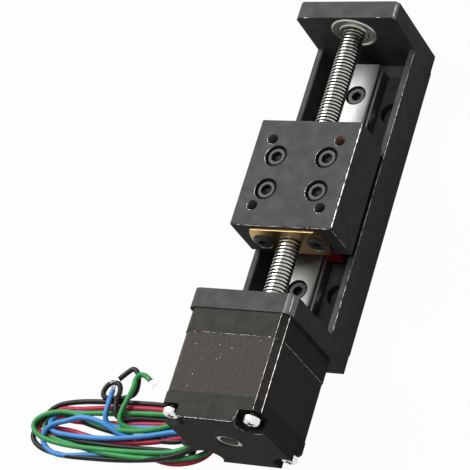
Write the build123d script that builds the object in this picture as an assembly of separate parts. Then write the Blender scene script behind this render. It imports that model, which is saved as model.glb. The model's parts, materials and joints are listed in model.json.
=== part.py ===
from build123d import *
from collections import namedtuple
import math
import os

# Linear slide table: a small screw-driven stage on a black U-shaped base.
# Millimetres. X across the base, Y along the travel from the motor to the end plate, Z up.
# The origin is on the floor, under the middle of the body from the motor's rear to the end plate.

# Travel of the table
STROKE = 50.0
REST_TRAVEL = 20.0
STOP_MARGIN_BACK = 2.2
STOP_MARGIN_FRONT = 2.4

# Base channel
BASE_WIDTH = 30.0
WALL_TOP = 12.4
WALL_THICKNESS = 1.8
FLOOR_THICKNESS = 4.0
CHANNEL_EDGE_CHAMFER = 0.25
BASE_HOLE_X = 8.75
BASE_HOLE_PITCH_Y = 56.0
BASE_HOLE_RADIUS = 1.7
BASE_COUNTERBORE_RADIUS = 3.3
BASE_COUNTERBORE_DEPTH = 2.4

# End plate and motor plate
END_PLATE_THICKNESS = 5.2
END_PLATE_RISE = 7.4
END_PLATE_CHAMFER = 1.0
MOTOR_PLATE_THICKNESS = 5.4
MOTOR_PLATE_RISE = 0.4
MOTOR_PLATE_CORNER = 2.5
PLATE_LIFT = 0.2
PLATE_FOOT_CHAMFER = 0.4
PLATE_SCREW_X = 9.0
PLATE_SCREW_DEPTH_IN_FLOOR = 1.4
PLATE_COUNTERBORE_DEPTH = 2.3
PLATE_SCREW_LENGTH = 8.0

# Guide rail
RAIL_WIDTH = 9.0
RAIL_HEIGHT = 6.5
RAIL_SPARE_LENGTH = 1.1
RAIL_NEAR_GAP = 2.9
RAIL_HOLE_PITCH = 20.0
RAIL_EDGE_CHAMFER = 0.35
RAIL_COUNTERBORE_RADIUS = 3.0
RAIL_COUNTERBORE_DEPTH = 3.5
RAIL_HOLE_RADIUS = 1.75
RAIL_SCREW_LENGTH = 6.0

# Balls between the rail and its block
BALL_RADIUS = 0.79
BALL_CLEARANCE = 0.12
BALL_SINK_IN_RAIL = 0.5
BALL_HEIGHT_ON_RAIL = 4.55
BALL_RETURN_X = 7.6
BALL_ROW_SPARE = 0.4

# Guide block
BLOCK_WIDTH = 20.0
BLOCK_STEEL_LENGTH = 18.9
END_CAP_LENGTH = 4.2
SEAL_THICKNESS = 0.8
BLOCK_RISE = 2.0
BLOCK_ROOF = 3.2
BLOCK_RUNNING_GAP = 0.3
BLOCK_CHAMFER = 0.5
END_CAP_INSET = 0.3
SEAL_INSET = 0.5

# Carriage table on the block
TABLE_LENGTH = 32.0
TABLE_CHAMFER = 0.3
TABLE_SCREW_X = 7.5
TABLE_SCREW_Y = 5.0
TABLE_SCREW_BITE = 2.8
TABLE_HEAD_BELOW_TOP = 0.4
TABLE_COUNTERBORE_RADIUS = 3.2
TAPPED_HOLE_OFFSET = 10.0
TAPPED_HOLE_RADIUS = 1.5
TAPPED_HOLE_DEPTH = 6.0

# Lead screw
SCREW_RADIUS = 3.0
SCREW_RUNNING_CLEARANCE = 0.06
SCREW_BORE_CLEARANCE = 0.4
JOURNAL_RADIUS = 2.5
SHAFT_END_INSET = 1.0

# Flanged nut in the table
NUT_FLANGE_RADIUS = 11.1
NUT_FLAT_HALF_HEIGHT = 6.0
NUT_FLANGE_THICKNESS = 3.5
NUT_PROUD = 0.6
NUT_BODY_RADIUS = 5.1
NUT_LENGTH = 15.0
NUT_SCREW_X = 8.0
NUT_SCREW_TIP_GAP = 0.9
NUT_POCKET_GAP = 0.15
NUT_COUNTERBORE_DEPTH = 1.2
NUT_HEAD_PROUD = 0.6
NUT_FLOOR = 0.6
NUT_COVER = 1.4

# End bearing, with a 6 mm bore
END_BEARING_RADIUS = 6.5
END_BEARING_WIDTH = 5.0
END_BEARING_PROUD = 0.3
END_BEARING_RACE_OUT = 5.35
END_BEARING_RACE_IN = 4.15
END_BORE_RADIUS = 4.7
CAGE_THICKNESS = 0.7
CAGE_WIDTH = 1.8
SHIELD_GAP = 0.12
SHIELD_THICKNESS = 0.3
SHIELD_RECESS = 0.25

# Stepper motor case
MOTOR_WIDTH = 28.2
MOTOR_LENGTH = 30.1
FRONT_CAP_LENGTH = 6.75
REAR_CAP_LENGTH = 6.9
CASE_CHAMFER = 1.6
STATOR_INSET = 0.15
MOTOR_HOLE_OFFSET = 11.5
PILOT_RADIUS = 11.0
PILOT_HEIGHT = 2.0
PILOT_CLEARANCE = 0.05
CASE_CAVITY_RADIUS = 12.0
FRONT_WALL = 2.5
REAR_WALL = 3.4
MOTOR_BEARING_RADIUS = 5.5
MOTOR_BEARING_WIDTH = 3.0
MOTOR_RACE_OUT = 4.6
MOTOR_RACE_IN = 3.5
FRONT_SHAFT_HOLE_RADIUS = 4.0
REAR_HOLE_RADIUS = 3.5
CASE_SCREW_POCKET_RADIUS = 3.9
CASE_SCREW_POCKET_DEPTH = 3.5
CASE_SCREW_BITE = 3.0
MOUNT_SCREW_BITE = 2.6
MOUNT_COUNTERBORE_DEPTH = 2.8

# Stator poles, coils and rotor
STATOR_BORE_RADIUS = 9.1
POLE_COUNT = 8
POLE_NECK_WIDTH = 3.0
POLE_SHOE_THICKNESS = 1.1
POLE_SHOE_ANGLE = 36.0
SLOT_RADIUS = 12.0
COIL_SIDE = 1.5
COIL_OVERHANG = 2.2
COIL_GAP = 0.08
ROTOR_AIR_GAP = 0.3
ROTOR_TOOTH_COUNT = 50
ROTOR_TOOTH_DEPTH = 0.5
TOOTH_TOP_SHARE = 0.2
TOOTH_ROOT_SHARE = 0.3
ROTOR_CORE_LENGTH = 6.4
MAGNET_LENGTH = 2.0
MAGNET_RADIUS = 7.6

# Screws
M2_HEAD_RADIUS = 1.9
M2_HEAD_HEIGHT = 2.0
M2_SHANK_RADIUS = 1.0
M2_SOCKET_WIDTH = 1.5
M25_HEAD_RADIUS = 2.25
M25_HEAD_HEIGHT = 2.5
M25_SHANK_RADIUS = 1.25
M25_SOCKET_WIDTH = 2.0
M3_HEAD_RADIUS = 2.75
M3_HEAD_HEIGHT = 3.0
M3_SHANK_RADIUS = 1.5
M3_SOCKET_WIDTH = 2.5
PAN_HEAD_RADIUS = 2.45
PAN_HEAD_HEIGHT = 1.7
PAN_HEAD_CHAMFER = 0.5
CROSS_WIDTH = 0.6
CROSS_LENGTH = 2.8
CROSS_DEPTH = 0.9
SOCKET_DEPTH = 1.2
HOLE_CLEARANCE = 0.25
HEAD_CLEARANCE = 0.1
THREAD_CLEARANCE = 0.02

# Motor leads and their grommet
WIRE_RADIUS = 0.65
WIRE_PITCH = 1.45
ARC_SHARE = 0.45
GROMMET_HEIGHT = 13.4
GROMMET_PROUD = 1.2
GROMMET_SINK = 2.0
GROMMET_WIDTH = 3.2
GROMMET_REAR_INSET = 0.5
GROMMET_CHAMFER = 0.4
GROMMET_NOTCH_DEPTH = 3.0
WIRE_COLOURS = ("black", "green", "blue", "red")
WIRE_ABOVE_FLOOR = 0.05

# Hank of leads on the floor
HANK_RIGHT = -15.0
HANK_LEFT = -73.6
HANK_NEAR = -65.7
HANK_FAR = -47.2
HANK_HEIGHT = 3.0
HANK_SLOT_NEAR = -57.6
HANK_SLOT_FAR = -53.8
HANK_SLOT_RIGHT = -28.5
HANK_SLOT_LEFT = -68.5

# Sizes that follow
ScrewSize = namedtuple("ScrewSize", "head_radius head_height shank_radius socket_width")
M2 = ScrewSize(M2_HEAD_RADIUS, M2_HEAD_HEIGHT, M2_SHANK_RADIUS, M2_SOCKET_WIDTH)
M25 = ScrewSize(M25_HEAD_RADIUS, M25_HEAD_HEIGHT, M25_SHANK_RADIUS, M25_SOCKET_WIDTH)
M3 = ScrewSize(M3_HEAD_RADIUS, M3_HEAD_HEIGHT, M3_SHANK_RADIUS, M3_SOCKET_WIDTH)
BLOCK_HALF_LENGTH = BLOCK_STEEL_LENGTH / 2 + END_CAP_LENGTH + SEAL_THICKNESS
RAIL_LENGTH = 2 * BLOCK_HALF_LENGTH + STROKE + RAIL_SPARE_LENGTH
RAIL_HOLE_COUNT = round(RAIL_LENGTH / RAIL_HOLE_PITCH)
CHANNEL_LENGTH = STOP_MARGIN_BACK + TABLE_LENGTH + STROKE + STOP_MARGIN_FRONT

# Places along Y
TOTAL_LENGTH = END_PLATE_THICKNESS + CHANNEL_LENGTH + MOTOR_PLATE_THICKNESS + MOTOR_LENGTH
END_OUTER_Y = TOTAL_LENGTH / 2
END_INNER_Y = END_OUTER_Y - END_PLATE_THICKNESS
PLATE_INNER_Y = END_INNER_Y - CHANNEL_LENGTH
MOTOR_FACE_Y = PLATE_INNER_Y - MOTOR_PLATE_THICKNESS
FRONT_SEAM_Y = MOTOR_FACE_Y - FRONT_CAP_LENGTH
MOTOR_REAR_Y = MOTOR_FACE_Y - MOTOR_LENGTH
REAR_SEAM_Y = MOTOR_REAR_Y + REAR_CAP_LENGTH
ROTOR_MIDDLE_Y = (FRONT_SEAM_Y + REAR_SEAM_Y) / 2
CHANNEL_MIDDLE_Y = (END_INNER_Y + PLATE_INNER_Y) / 2
RAIL_NEAR_Y = PLATE_INNER_Y + RAIL_NEAR_GAP
RAIL_FAR_Y = RAIL_NEAR_Y + RAIL_LENGTH
TABLE_NEAR_Y = PLATE_INNER_Y + STOP_MARGIN_BACK + REST_TRAVEL
TABLE_FAR_Y = TABLE_NEAR_Y + TABLE_LENGTH
TABLE_MIDDLE_Y = (TABLE_NEAR_Y + TABLE_FAR_Y) / 2
NUT_FACE_Y = TABLE_NEAR_Y - NUT_PROUD
NUT_BACK_Y = NUT_FACE_Y + NUT_FLANGE_THICKNESS
NUT_SEAT_Y = NUT_FACE_Y + NUT_COUNTERBORE_DEPTH
NUT_SCREW_TIP_Y = TABLE_MIDDLE_Y - TABLE_SCREW_Y - M3.shank_radius - NUT_SCREW_TIP_GAP
NUT_SCREW_LENGTH = NUT_SCREW_TIP_Y - NUT_SEAT_Y

# Places along Z
RAIL_TOP = FLOOR_THICKNESS + RAIL_HEIGHT
BALL_Z = FLOOR_THICKNESS + BALL_HEIGHT_ON_RAIL
BALL_X = RAIL_WIDTH / 2 + BALL_RADIUS - BALL_SINK_IN_RAIL
BLOCK_BOTTOM = FLOOR_THICKNESS + BLOCK_RISE
BLOCK_TOP = RAIL_TOP + BLOCK_RUNNING_GAP + BLOCK_ROOF
SCREW_AXIS_Z = BLOCK_TOP + NUT_FLOOR + NUT_FLAT_HALF_HEIGHT
TABLE_TOP = SCREW_AXIS_Z + NUT_FLAT_HALF_HEIGHT + NUT_COVER
TABLE_SCREW_SEAT = TABLE_TOP - TABLE_HEAD_BELOW_TOP - M3.head_height
END_PLATE_TOP = SCREW_AXIS_Z + END_PLATE_RISE
MOTOR_PLATE_TOP = SCREW_AXIS_Z + MOTOR_WIDTH / 2 + MOTOR_PLATE_RISE
PLATE_SCREW_Z = FLOOR_THICKNESS - PLATE_SCREW_DEPTH_IN_FLOOR
ON_FLOOR = WIRE_RADIUS + WIRE_ABOVE_FLOOR

# Leads from the grommet to the hank: how far out from the grommet's face, and how high
LEAD_ROUTE = [(0.0, GROMMET_HEIGHT), (3.0, GROMMET_HEIGHT), (5.6, 11.0), (6.3, 7.0), (6.5, HANK_HEIGHT)]

# What sticks out of the hank's far side, as points on the floor
FREE_ENDS = {
    "end_blue": [(-52.6, HANK_FAR), (-52.6, -44.6)],
    "loop_black": [(-49.9, HANK_FAR), (-49.9, -44.7), (-51.3, -42.3), (-53.9, -42.2),
                   (-55.3, -44.5), (-55.3, HANK_FAR)],
    "end_black": [(-48.2, HANK_FAR), (-48.2, -43.2), (-47.7, -39.9), (-49.0, -38.0), (-51.6, -40.4)],
    "end_green": [(-46.7, HANK_FAR), (-46.7, -43.4), (-46.1, -40.0), (-44.4, -38.7), (-42.1, -40.3)],
    "end_red": [(-28.0, HANK_FAR), (-28.0, -44.2), (-26.0, -41.8)],
}


def block(x0, x1, y0, y1, z0, z1):
    return Pos((x0 + x1) / 2, (y0 + y1) / 2, (z0 + z1) / 2) * Box(x1 - x0, y1 - y0, z1 - z0)


def rod_y(x, z, radius, y0, y1):
    return Pos(x, (y0 + y1) / 2, z) * Rot(90, 0, 0) * Cylinder(radius, abs(y1 - y0))


def rod_z(x, y, radius, z0, z1):
    return Pos(x, y, (z0 + z1) / 2) * Cylinder(radius, z1 - z0)


def ring_y(outer, inner, y0, y1):
    """a ring about the screw axis"""
    return rod_y(0, SCREW_AXIS_Z, outer, y0, y1) - rod_y(0, SCREW_AXIS_Z, inner, y0, y1)


def along_y(sketch, y0, y1):
    """a sketch with X and Z as its axes, pushed out from y1 back to y0"""
    return Pos(0, y1, 0) * extrude(Plane.XZ * sketch, amount=y1 - y0)


def edges_along(part, axis, test):
    return [edge for edge in part.edges().filter_by(axis) if test(edge.center())]


def save(shapes, name):
    """one node, of one solid or of several separate ones"""
    solids = [solid for shape in shapes for solid in shape.solids()]
    whole = solids[0] if len(solids) == 1 else Compound(children=solids)
    whole.label = name
    export_step(whole, f"parts/{name}.step")


# Screws, each with its seat at z = 0, its head above and its shank below
def cap_screw(size, length):
    head = rod_z(0, 0, size.head_radius, 0, size.head_height)
    shank = rod_z(0, 0, size.shank_radius, -length, 0)
    socket = extrude(RegularPolygon(size.socket_width / math.sqrt(3), 6), amount=-SOCKET_DEPTH)
    return head + shank - Pos(0, 0, size.head_height) * socket


def pan_screw(length):
    head = rod_z(0, 0, PAN_HEAD_RADIUS, 0, PAN_HEAD_HEIGHT)
    head = chamfer(head.edges().group_by(Axis.Z)[-1], PAN_HEAD_CHAMFER)
    cross = Box(CROSS_LENGTH, CROSS_WIDTH, CROSS_DEPTH) + Box(CROSS_WIDTH, CROSS_LENGTH, CROSS_DEPTH)
    shank = rod_z(0, 0, M25.shank_radius, -length, 0)
    return head + shank - Pos(0, 0, PAN_HEAD_HEIGHT - CROSS_DEPTH / 2) * cross


def facing_back(x, y, z, screw):
    """a screw put in from the motor side, its head towards -Y and its seat at y"""
    return Pos(x, y, z) * Rot(90, 0, 0) * screw


def facing_forward(x, y, z, screw):
    """a screw put in from the end-plate side, its head towards +Y and its seat at y"""
    return Pos(x, y, z) * Rot(-90, 0, 0) * screw


# Where the screws go
def motor_hole_places():
    offsets = (-MOTOR_HOLE_OFFSET, MOTOR_HOLE_OFFSET)
    return [(x, SCREW_AXIS_Z + z) for x in offsets for z in offsets]


def plate_screw_places():
    return [(-PLATE_SCREW_X, PLATE_SCREW_Z), (PLATE_SCREW_X, PLATE_SCREW_Z)]


def rail_hole_ys():
    first = (RAIL_LENGTH - RAIL_HOLE_PITCH * (RAIL_HOLE_COUNT - 1)) / 2
    return [RAIL_FAR_Y - first - RAIL_HOLE_PITCH * number for number in range(RAIL_HOLE_COUNT)]


def table_screw_places():
    offsets = (-TABLE_SCREW_Y, TABLE_SCREW_Y)
    return [(x, TABLE_MIDDLE_Y + y) for x in (-TABLE_SCREW_X, TABLE_SCREW_X) for y in offsets]


def tapped_hole_places():
    offsets = (-TAPPED_HOLE_OFFSET, TAPPED_HOLE_OFFSET)
    return [(x, TABLE_MIDDLE_Y + y) for x in offsets for y in offsets]


def base_hole_places():
    half = BASE_HOLE_PITCH_Y / 2
    return [(x, CHANNEL_MIDDLE_Y + y) for x in (-BASE_HOLE_X, BASE_HOLE_X) for y in (-half, half)]


# Base channel, with its mounting holes and the tapped holes for the rail and the two plates
def base_channel():
    half = BASE_WIDTH / 2
    inside = half - WALL_THICKNESS
    body = block(-half, half, PLATE_INNER_Y, END_INNER_Y, 0, WALL_TOP)
    body -= block(-inside, inside, PLATE_INNER_Y, END_INNER_Y, FLOOR_THICKNESS, WALL_TOP)
    rims = edges_along(body, Axis.Y, lambda c: c.Z > WALL_TOP - WALL_THICKNESS or c.Z < WALL_THICKNESS)
    body = chamfer(rims, CHANNEL_EDGE_CHAMFER)
    for x, y in base_hole_places():
        body -= rod_z(x, y, BASE_HOLE_RADIUS, 0, FLOOR_THICKNESS)
        seat = FLOOR_THICKNESS - BASE_COUNTERBORE_DEPTH
        body -= rod_z(x, y, BASE_COUNTERBORE_RADIUS, seat, FLOOR_THICKNESS)
    for y in rail_hole_ys():
        body -= rod_z(0, y, M3.shank_radius + THREAD_CLEARANCE, 0, FLOOR_THICKNESS)
    end_bite = PLATE_SCREW_LENGTH - (END_PLATE_THICKNESS - PLATE_COUNTERBORE_DEPTH)
    motor_bite = PLATE_SCREW_LENGTH - (MOTOR_PLATE_THICKNESS - PLATE_COUNTERBORE_DEPTH)
    for x, z in plate_screw_places():
        body -= rod_y(x, z, M2.shank_radius + THREAD_CLEARANCE, END_INNER_Y - end_bite, END_INNER_Y)
        body -= rod_y(x, z, M2.shank_radius + THREAD_CLEARANCE, PLATE_INNER_Y, PLATE_INNER_Y + motor_bite)
    return body


# Plates at the two ends of the channel
def plate_screw_holes(outer_y, seat_y, inner_y):
    """counterbored holes for the screws that hold a plate to the end of the channel's floor"""
    holes = Part()
    for x, z in plate_screw_places():
        holes += rod_y(x, z, M2.shank_radius + HOLE_CLEARANCE, seat_y, inner_y)
        holes += rod_y(x, z, M2.head_radius + HEAD_CLEARANCE, outer_y, seat_y)
    return holes


def end_plate():
    half = BASE_WIDTH / 2
    body = block(-half, half, END_INNER_Y, END_OUTER_Y, PLATE_LIFT, END_PLATE_TOP)
    body = chamfer(edges_along(body, Axis.Y, lambda c: c.Z > END_PLATE_TOP / 2), END_PLATE_CHAMFER)
    body = chamfer(edges_along(body, Axis.Y, lambda c: c.Z < END_PLATE_TOP / 4), PLATE_FOOT_CHAMFER)
    body -= rod_y(0, SCREW_AXIS_Z, END_BEARING_RADIUS, END_INNER_Y, end_bearing_span()[1])
    body -= rod_y(0, SCREW_AXIS_Z, END_BORE_RADIUS, END_INNER_Y, END_OUTER_Y)
    return body - plate_screw_holes(END_OUTER_Y, END_OUTER_Y - PLATE_COUNTERBORE_DEPTH, END_INNER_Y)


def motor_plate():
    half = BASE_WIDTH / 2
    body = block(-half, half, MOTOR_FACE_Y, PLATE_INNER_Y, PLATE_LIFT, MOTOR_PLATE_TOP)
    body = fillet(edges_along(body, Axis.Y, lambda c: c.Z > MOTOR_PLATE_TOP / 2), MOTOR_PLATE_CORNER)
    body = chamfer(edges_along(body, Axis.Y, lambda c: c.Z < MOTOR_PLATE_TOP / 4), PLATE_FOOT_CHAMFER)
    pilot_end = MOTOR_FACE_Y + PILOT_HEIGHT + PILOT_CLEARANCE
    body -= rod_y(0, SCREW_AXIS_Z, PILOT_RADIUS + PILOT_CLEARANCE, MOTOR_FACE_Y, pilot_end)
    body -= rod_y(0, SCREW_AXIS_Z, FRONT_SHAFT_HOLE_RADIUS, MOTOR_FACE_Y, PLATE_INNER_Y)
    seat = PLATE_INNER_Y - MOUNT_COUNTERBORE_DEPTH
    for x, z in motor_hole_places():
        body -= rod_y(x, z, M25.shank_radius + HOLE_CLEARANCE, MOTOR_FACE_Y, PLATE_INNER_Y)
        body -= rod_y(x, z, M25.head_radius + HEAD_CLEARANCE, seat, PLATE_INNER_Y)
    return body - plate_screw_holes(MOTOR_FACE_Y, MOTOR_FACE_Y + PLATE_COUNTERBORE_DEPTH, PLATE_INNER_Y)


def end_plate_screws():
    screw = cap_screw(M2, PLATE_SCREW_LENGTH)
    seat = END_OUTER_Y - PLATE_COUNTERBORE_DEPTH
    return [facing_forward(x, seat, z, screw) for x, z in plate_screw_places()]


def motor_plate_screws():
    screw = cap_screw(M2, PLATE_SCREW_LENGTH)
    seat = MOTOR_FACE_Y + PLATE_COUNTERBORE_DEPTH
    return [facing_back(x, seat, z, screw) for x, z in plate_screw_places()]


# Guide rail: a ball groove in each flank, counterbored holes along the middle
def ball_grooves():
    """two circles round the paths of the balls, seen along the rail"""
    radius = BALL_RADIUS + BALL_CLEARANCE
    return Pos(BALL_X, BALL_Z) * Circle(radius) + Pos(-BALL_X, BALL_Z) * Circle(radius)


def guide_rail():
    section = Pos(0, FLOOR_THICKNESS + RAIL_HEIGHT / 2) * Rectangle(RAIL_WIDTH, RAIL_HEIGHT)
    section = chamfer(section.vertices(), RAIL_EDGE_CHAMFER) - ball_grooves()
    body = along_y(section, RAIL_NEAR_Y, RAIL_FAR_Y)
    for y in rail_hole_ys():
        body -= rod_z(0, y, RAIL_HOLE_RADIUS, FLOOR_THICKNESS, RAIL_TOP)
        body -= rod_z(0, y, RAIL_COUNTERBORE_RADIUS, RAIL_TOP - RAIL_COUNTERBORE_DEPTH, RAIL_TOP)
    return body


def rail_screws():
    screw = cap_screw(M3, RAIL_SCREW_LENGTH)
    return [Pos(0, y, RAIL_TOP - RAIL_COUNTERBORE_DEPTH) * screw for y in rail_hole_ys()]


# Guide block: a steel body, plastic end caps and wiping seals, all straddling the rail
def block_section(inset):
    low = BLOCK_BOTTOM + inset
    high = BLOCK_TOP - inset
    section = Pos(0, (low + high) / 2) * Rectangle(BLOCK_WIDTH - 2 * inset, high - low)
    section = chamfer(section.vertices(), BLOCK_CHAMFER)
    slot_top = RAIL_TOP + BLOCK_RUNNING_GAP
    slot_width = RAIL_WIDTH + 2 * BLOCK_RUNNING_GAP
    return section - Pos(0, slot_top - BLOCK_TOP / 2) * Rectangle(slot_width, BLOCK_TOP)


def guide_block():
    radius = BALL_RADIUS + BALL_CLEARANCE
    section = block_section(0) - ball_grooves()
    for side in (-1, 1):
        section -= Pos(side * BALL_RETURN_X, BALL_Z) * Circle(radius)
    half = BLOCK_STEEL_LENGTH / 2
    body = along_y(section, TABLE_MIDDLE_Y - half, TABLE_MIDDLE_Y + half)
    hole_end = BLOCK_TOP - BLOCK_ROOF + HEAD_CLEARANCE
    for x, y in table_screw_places():
        body -= rod_z(x, y, M3.shank_radius + THREAD_CLEARANCE, hole_end, BLOCK_TOP)
    return body


def block_slice(side, near, length, inset):
    """a slice of the block's outline that starts at a distance from the middle, on one side"""
    ends = sorted((TABLE_MIDDLE_Y + side * near, TABLE_MIDDLE_Y + side * (near + length)))
    return along_y(block_section(inset), *ends)


def block_end_cap(side):
    return block_slice(side, BLOCK_STEEL_LENGTH / 2, END_CAP_LENGTH, END_CAP_INSET)


def block_seal(side):
    return block_slice(side, BLOCK_STEEL_LENGTH / 2 + END_CAP_LENGTH, SEAL_THICKNESS, SEAL_INSET)


def ball_rows():
    """each loaded row of balls as one round bar in its groove, with a return row beside it"""
    half = BLOCK_STEEL_LENGTH / 2 - BALL_ROW_SPARE
    places = (-BALL_RETURN_X, -BALL_X, BALL_X, BALL_RETURN_X)
    return [rod_y(x, BALL_Z, BALL_RADIUS, TABLE_MIDDLE_Y - half, TABLE_MIDDLE_Y + half) for x in places]


# Nut: a round flange cut to two flats, set into the table's near face
def nut_outline(gap):
    disc = Circle(NUT_FLANGE_RADIUS + gap)
    flats = Rectangle(2 * (NUT_FLANGE_RADIUS + gap), 2 * (NUT_FLAT_HALF_HEIGHT + gap))
    return Pos(0, SCREW_AXIS_Z) * (disc & flats)


def lead_nut():
    far_end = NUT_FACE_Y + NUT_LENGTH
    body = along_y(nut_outline(0), NUT_FACE_Y, NUT_BACK_Y)
    body += rod_y(0, SCREW_AXIS_Z, NUT_BODY_RADIUS, NUT_BACK_Y, far_end)
    body -= rod_y(0, SCREW_AXIS_Z, SCREW_RADIUS + SCREW_RUNNING_CLEARANCE, NUT_FACE_Y, far_end)
    for x in (-NUT_SCREW_X, NUT_SCREW_X):
        body -= rod_y(x, SCREW_AXIS_Z, M3.shank_radius + HOLE_CLEARANCE, NUT_SEAT_Y, NUT_BACK_Y)
        body -= rod_y(x, SCREW_AXIS_Z, M3.head_radius + HEAD_CLEARANCE, NUT_FACE_Y, NUT_SEAT_Y)
    return body


def nut_screws():
    low_head = M3._replace(head_height=NUT_COUNTERBORE_DEPTH + NUT_HEAD_PROUD)
    screw = cap_screw(low_head, NUT_SCREW_LENGTH)
    return [facing_back(x, NUT_SEAT_Y, SCREW_AXIS_Z, screw) for x in (-NUT_SCREW_X, NUT_SCREW_X)]


# Table: the block that carries the load
def carriage_table():
    half = BASE_WIDTH / 2
    body = block(-half, half, TABLE_NEAR_Y, TABLE_FAR_Y, BLOCK_TOP, TABLE_TOP)
    body = chamfer(body.edges(), TABLE_CHAMFER)
    body -= rod_y(0, SCREW_AXIS_Z, SCREW_RADIUS + SCREW_BORE_CLEARANCE, TABLE_NEAR_Y, TABLE_FAR_Y)
    body -= along_y(nut_outline(NUT_POCKET_GAP), TABLE_NEAR_Y, NUT_BACK_Y)
    nut_end = NUT_FACE_Y + NUT_LENGTH + NUT_POCKET_GAP
    body -= rod_y(0, SCREW_AXIS_Z, NUT_BODY_RADIUS + NUT_POCKET_GAP, TABLE_NEAR_Y, nut_end)
    for x in (-NUT_SCREW_X, NUT_SCREW_X):
        radius = M3.shank_radius + THREAD_CLEARANCE
        body -= rod_y(x, SCREW_AXIS_Z, radius, NUT_BACK_Y, NUT_SEAT_Y + NUT_SCREW_LENGTH)
    for x, y in table_screw_places():
        body -= rod_z(x, y, M3.shank_radius + HOLE_CLEARANCE, BLOCK_TOP, TABLE_SCREW_SEAT)
        body -= rod_z(x, y, TABLE_COUNTERBORE_RADIUS, TABLE_SCREW_SEAT, TABLE_TOP)
    for x, y in tapped_hole_places():
        body -= rod_z(x, y, TAPPED_HOLE_RADIUS, TABLE_TOP - TAPPED_HOLE_DEPTH, TABLE_TOP)
    return body


def table_screws():
    screw = cap_screw(M3, TABLE_SCREW_SEAT - BLOCK_TOP + TABLE_SCREW_BITE)
    return [Pos(x, y, TABLE_SCREW_SEAT) * screw for x, y in table_screw_places()]


# Bearing in the end plate: two rings, a cage for the balls and two shields
def end_bearing_span():
    near = END_INNER_Y - END_BEARING_PROUD
    return near, near + END_BEARING_WIDTH


def end_bearing_outer_ring():
    return ring_y(END_BEARING_RADIUS, END_BEARING_RACE_OUT, *end_bearing_span())


def end_bearing_inner_ring():
    return ring_y(END_BEARING_RACE_IN, SCREW_RADIUS, *end_bearing_span())


def end_bearing_cage():
    middle = sum(end_bearing_span()) / 2
    race_middle = (END_BEARING_RACE_OUT + END_BEARING_RACE_IN) / 2
    half = CAGE_THICKNESS / 2
    return ring_y(race_middle + half, race_middle - half, middle - CAGE_WIDTH / 2, middle + CAGE_WIDTH / 2)


def end_bearing_shields():
    near, far = end_bearing_span()
    inner = END_BEARING_RACE_IN + SHIELD_GAP
    starts = (near + SHIELD_RECESS, far - SHIELD_RECESS - SHIELD_THICKNESS)
    return [ring_y(END_BEARING_RACE_OUT, inner, y, y + SHIELD_THICKNESS) for y in starts]


# Motor bearings: one in the front cap, one in the rear cap
def front_bearing_span():
    near = MOTOR_FACE_Y - FRONT_WALL
    return near, near + MOTOR_BEARING_WIDTH


def rear_bearing_span():
    far = MOTOR_REAR_Y + REAR_WALL
    return far - MOTOR_BEARING_WIDTH, far


def motor_bearing_outer(span):
    return ring_y(MOTOR_BEARING_RADIUS, MOTOR_RACE_OUT, *span)


def motor_bearing_inner(span):
    return ring_y(MOTOR_RACE_IN, JOURNAL_RADIUS, *span)


# Lead screw: one piece with the motor's shaft
def lead_screw():
    shoulder = front_bearing_span()[1]
    body = rod_y(0, SCREW_AXIS_Z, SCREW_RADIUS, shoulder, END_OUTER_Y - SHAFT_END_INSET)
    return body + rod_y(0, SCREW_AXIS_Z, JOURNAL_RADIUS, MOTOR_REAR_Y + SHAFT_END_INSET, shoulder)


# Motor case: two caps and the laminated stator between them
def case_outline(inset):
    side = MOTOR_WIDTH - 2 * inset
    return Pos(0, SCREW_AXIS_Z) * chamfer(Rectangle(side, side).vertices(), CASE_CHAMFER)


def motor_front_cap():
    near, far = front_bearing_span()
    body = along_y(case_outline(0), FRONT_SEAM_Y, MOTOR_FACE_Y)
    body += rod_y(0, SCREW_AXIS_Z, PILOT_RADIUS, MOTOR_FACE_Y, MOTOR_FACE_Y + PILOT_HEIGHT)
    body -= rod_y(0, SCREW_AXIS_Z, CASE_CAVITY_RADIUS, FRONT_SEAM_Y, near)
    body -= rod_y(0, SCREW_AXIS_Z, MOTOR_BEARING_RADIUS, near, far)
    body -= rod_y(0, SCREW_AXIS_Z, FRONT_SHAFT_HOLE_RADIUS, far, MOTOR_FACE_Y + PILOT_HEIGHT)
    for x, z in motor_hole_places():
        body -= rod_y(x, z, M25.shank_radius + THREAD_CLEARANCE, FRONT_SEAM_Y, MOTOR_FACE_Y)
    return body


def motor_rear_cap():
    near, far = rear_bearing_span()
    seat = MOTOR_REAR_Y + CASE_SCREW_POCKET_DEPTH
    half = MOTOR_WIDTH / 2
    body = along_y(case_outline(0), MOTOR_REAR_Y, REAR_SEAM_Y)
    body -= rod_y(0, SCREW_AXIS_Z, CASE_CAVITY_RADIUS, far, REAR_SEAM_Y)
    body -= rod_y(0, SCREW_AXIS_Z, MOTOR_BEARING_RADIUS, near, far)
    body -= rod_y(0, SCREW_AXIS_Z, REAR_HOLE_RADIUS, MOTOR_REAR_Y, near)
    for x, z in motor_hole_places():
        corner_x = math.copysign(half, x)
        corner_z = SCREW_AXIS_Z + math.copysign(half, z - SCREW_AXIS_Z)
        body -= rod_y(x, z, M25.shank_radius + HOLE_CLEARANCE, seat, REAR_SEAM_Y)
        body -= rod_y(x, z, CASE_SCREW_POCKET_RADIUS, MOTOR_REAR_Y, seat)
        body -= block(*sorted((x, corner_x)), MOTOR_REAR_Y, seat, *sorted((z, corner_z)))
    low, high = grommet_heights()
    return body - block(-half, GROMMET_NOTCH_DEPTH - half, *grommet_span(), low, high)


def motor_case_screws():
    seat = MOTOR_REAR_Y + CASE_SCREW_POCKET_DEPTH
    screw = pan_screw(FRONT_SEAM_Y + CASE_SCREW_BITE - seat)
    return [facing_back(x, seat, z, screw) for x, z in motor_hole_places()]


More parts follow.
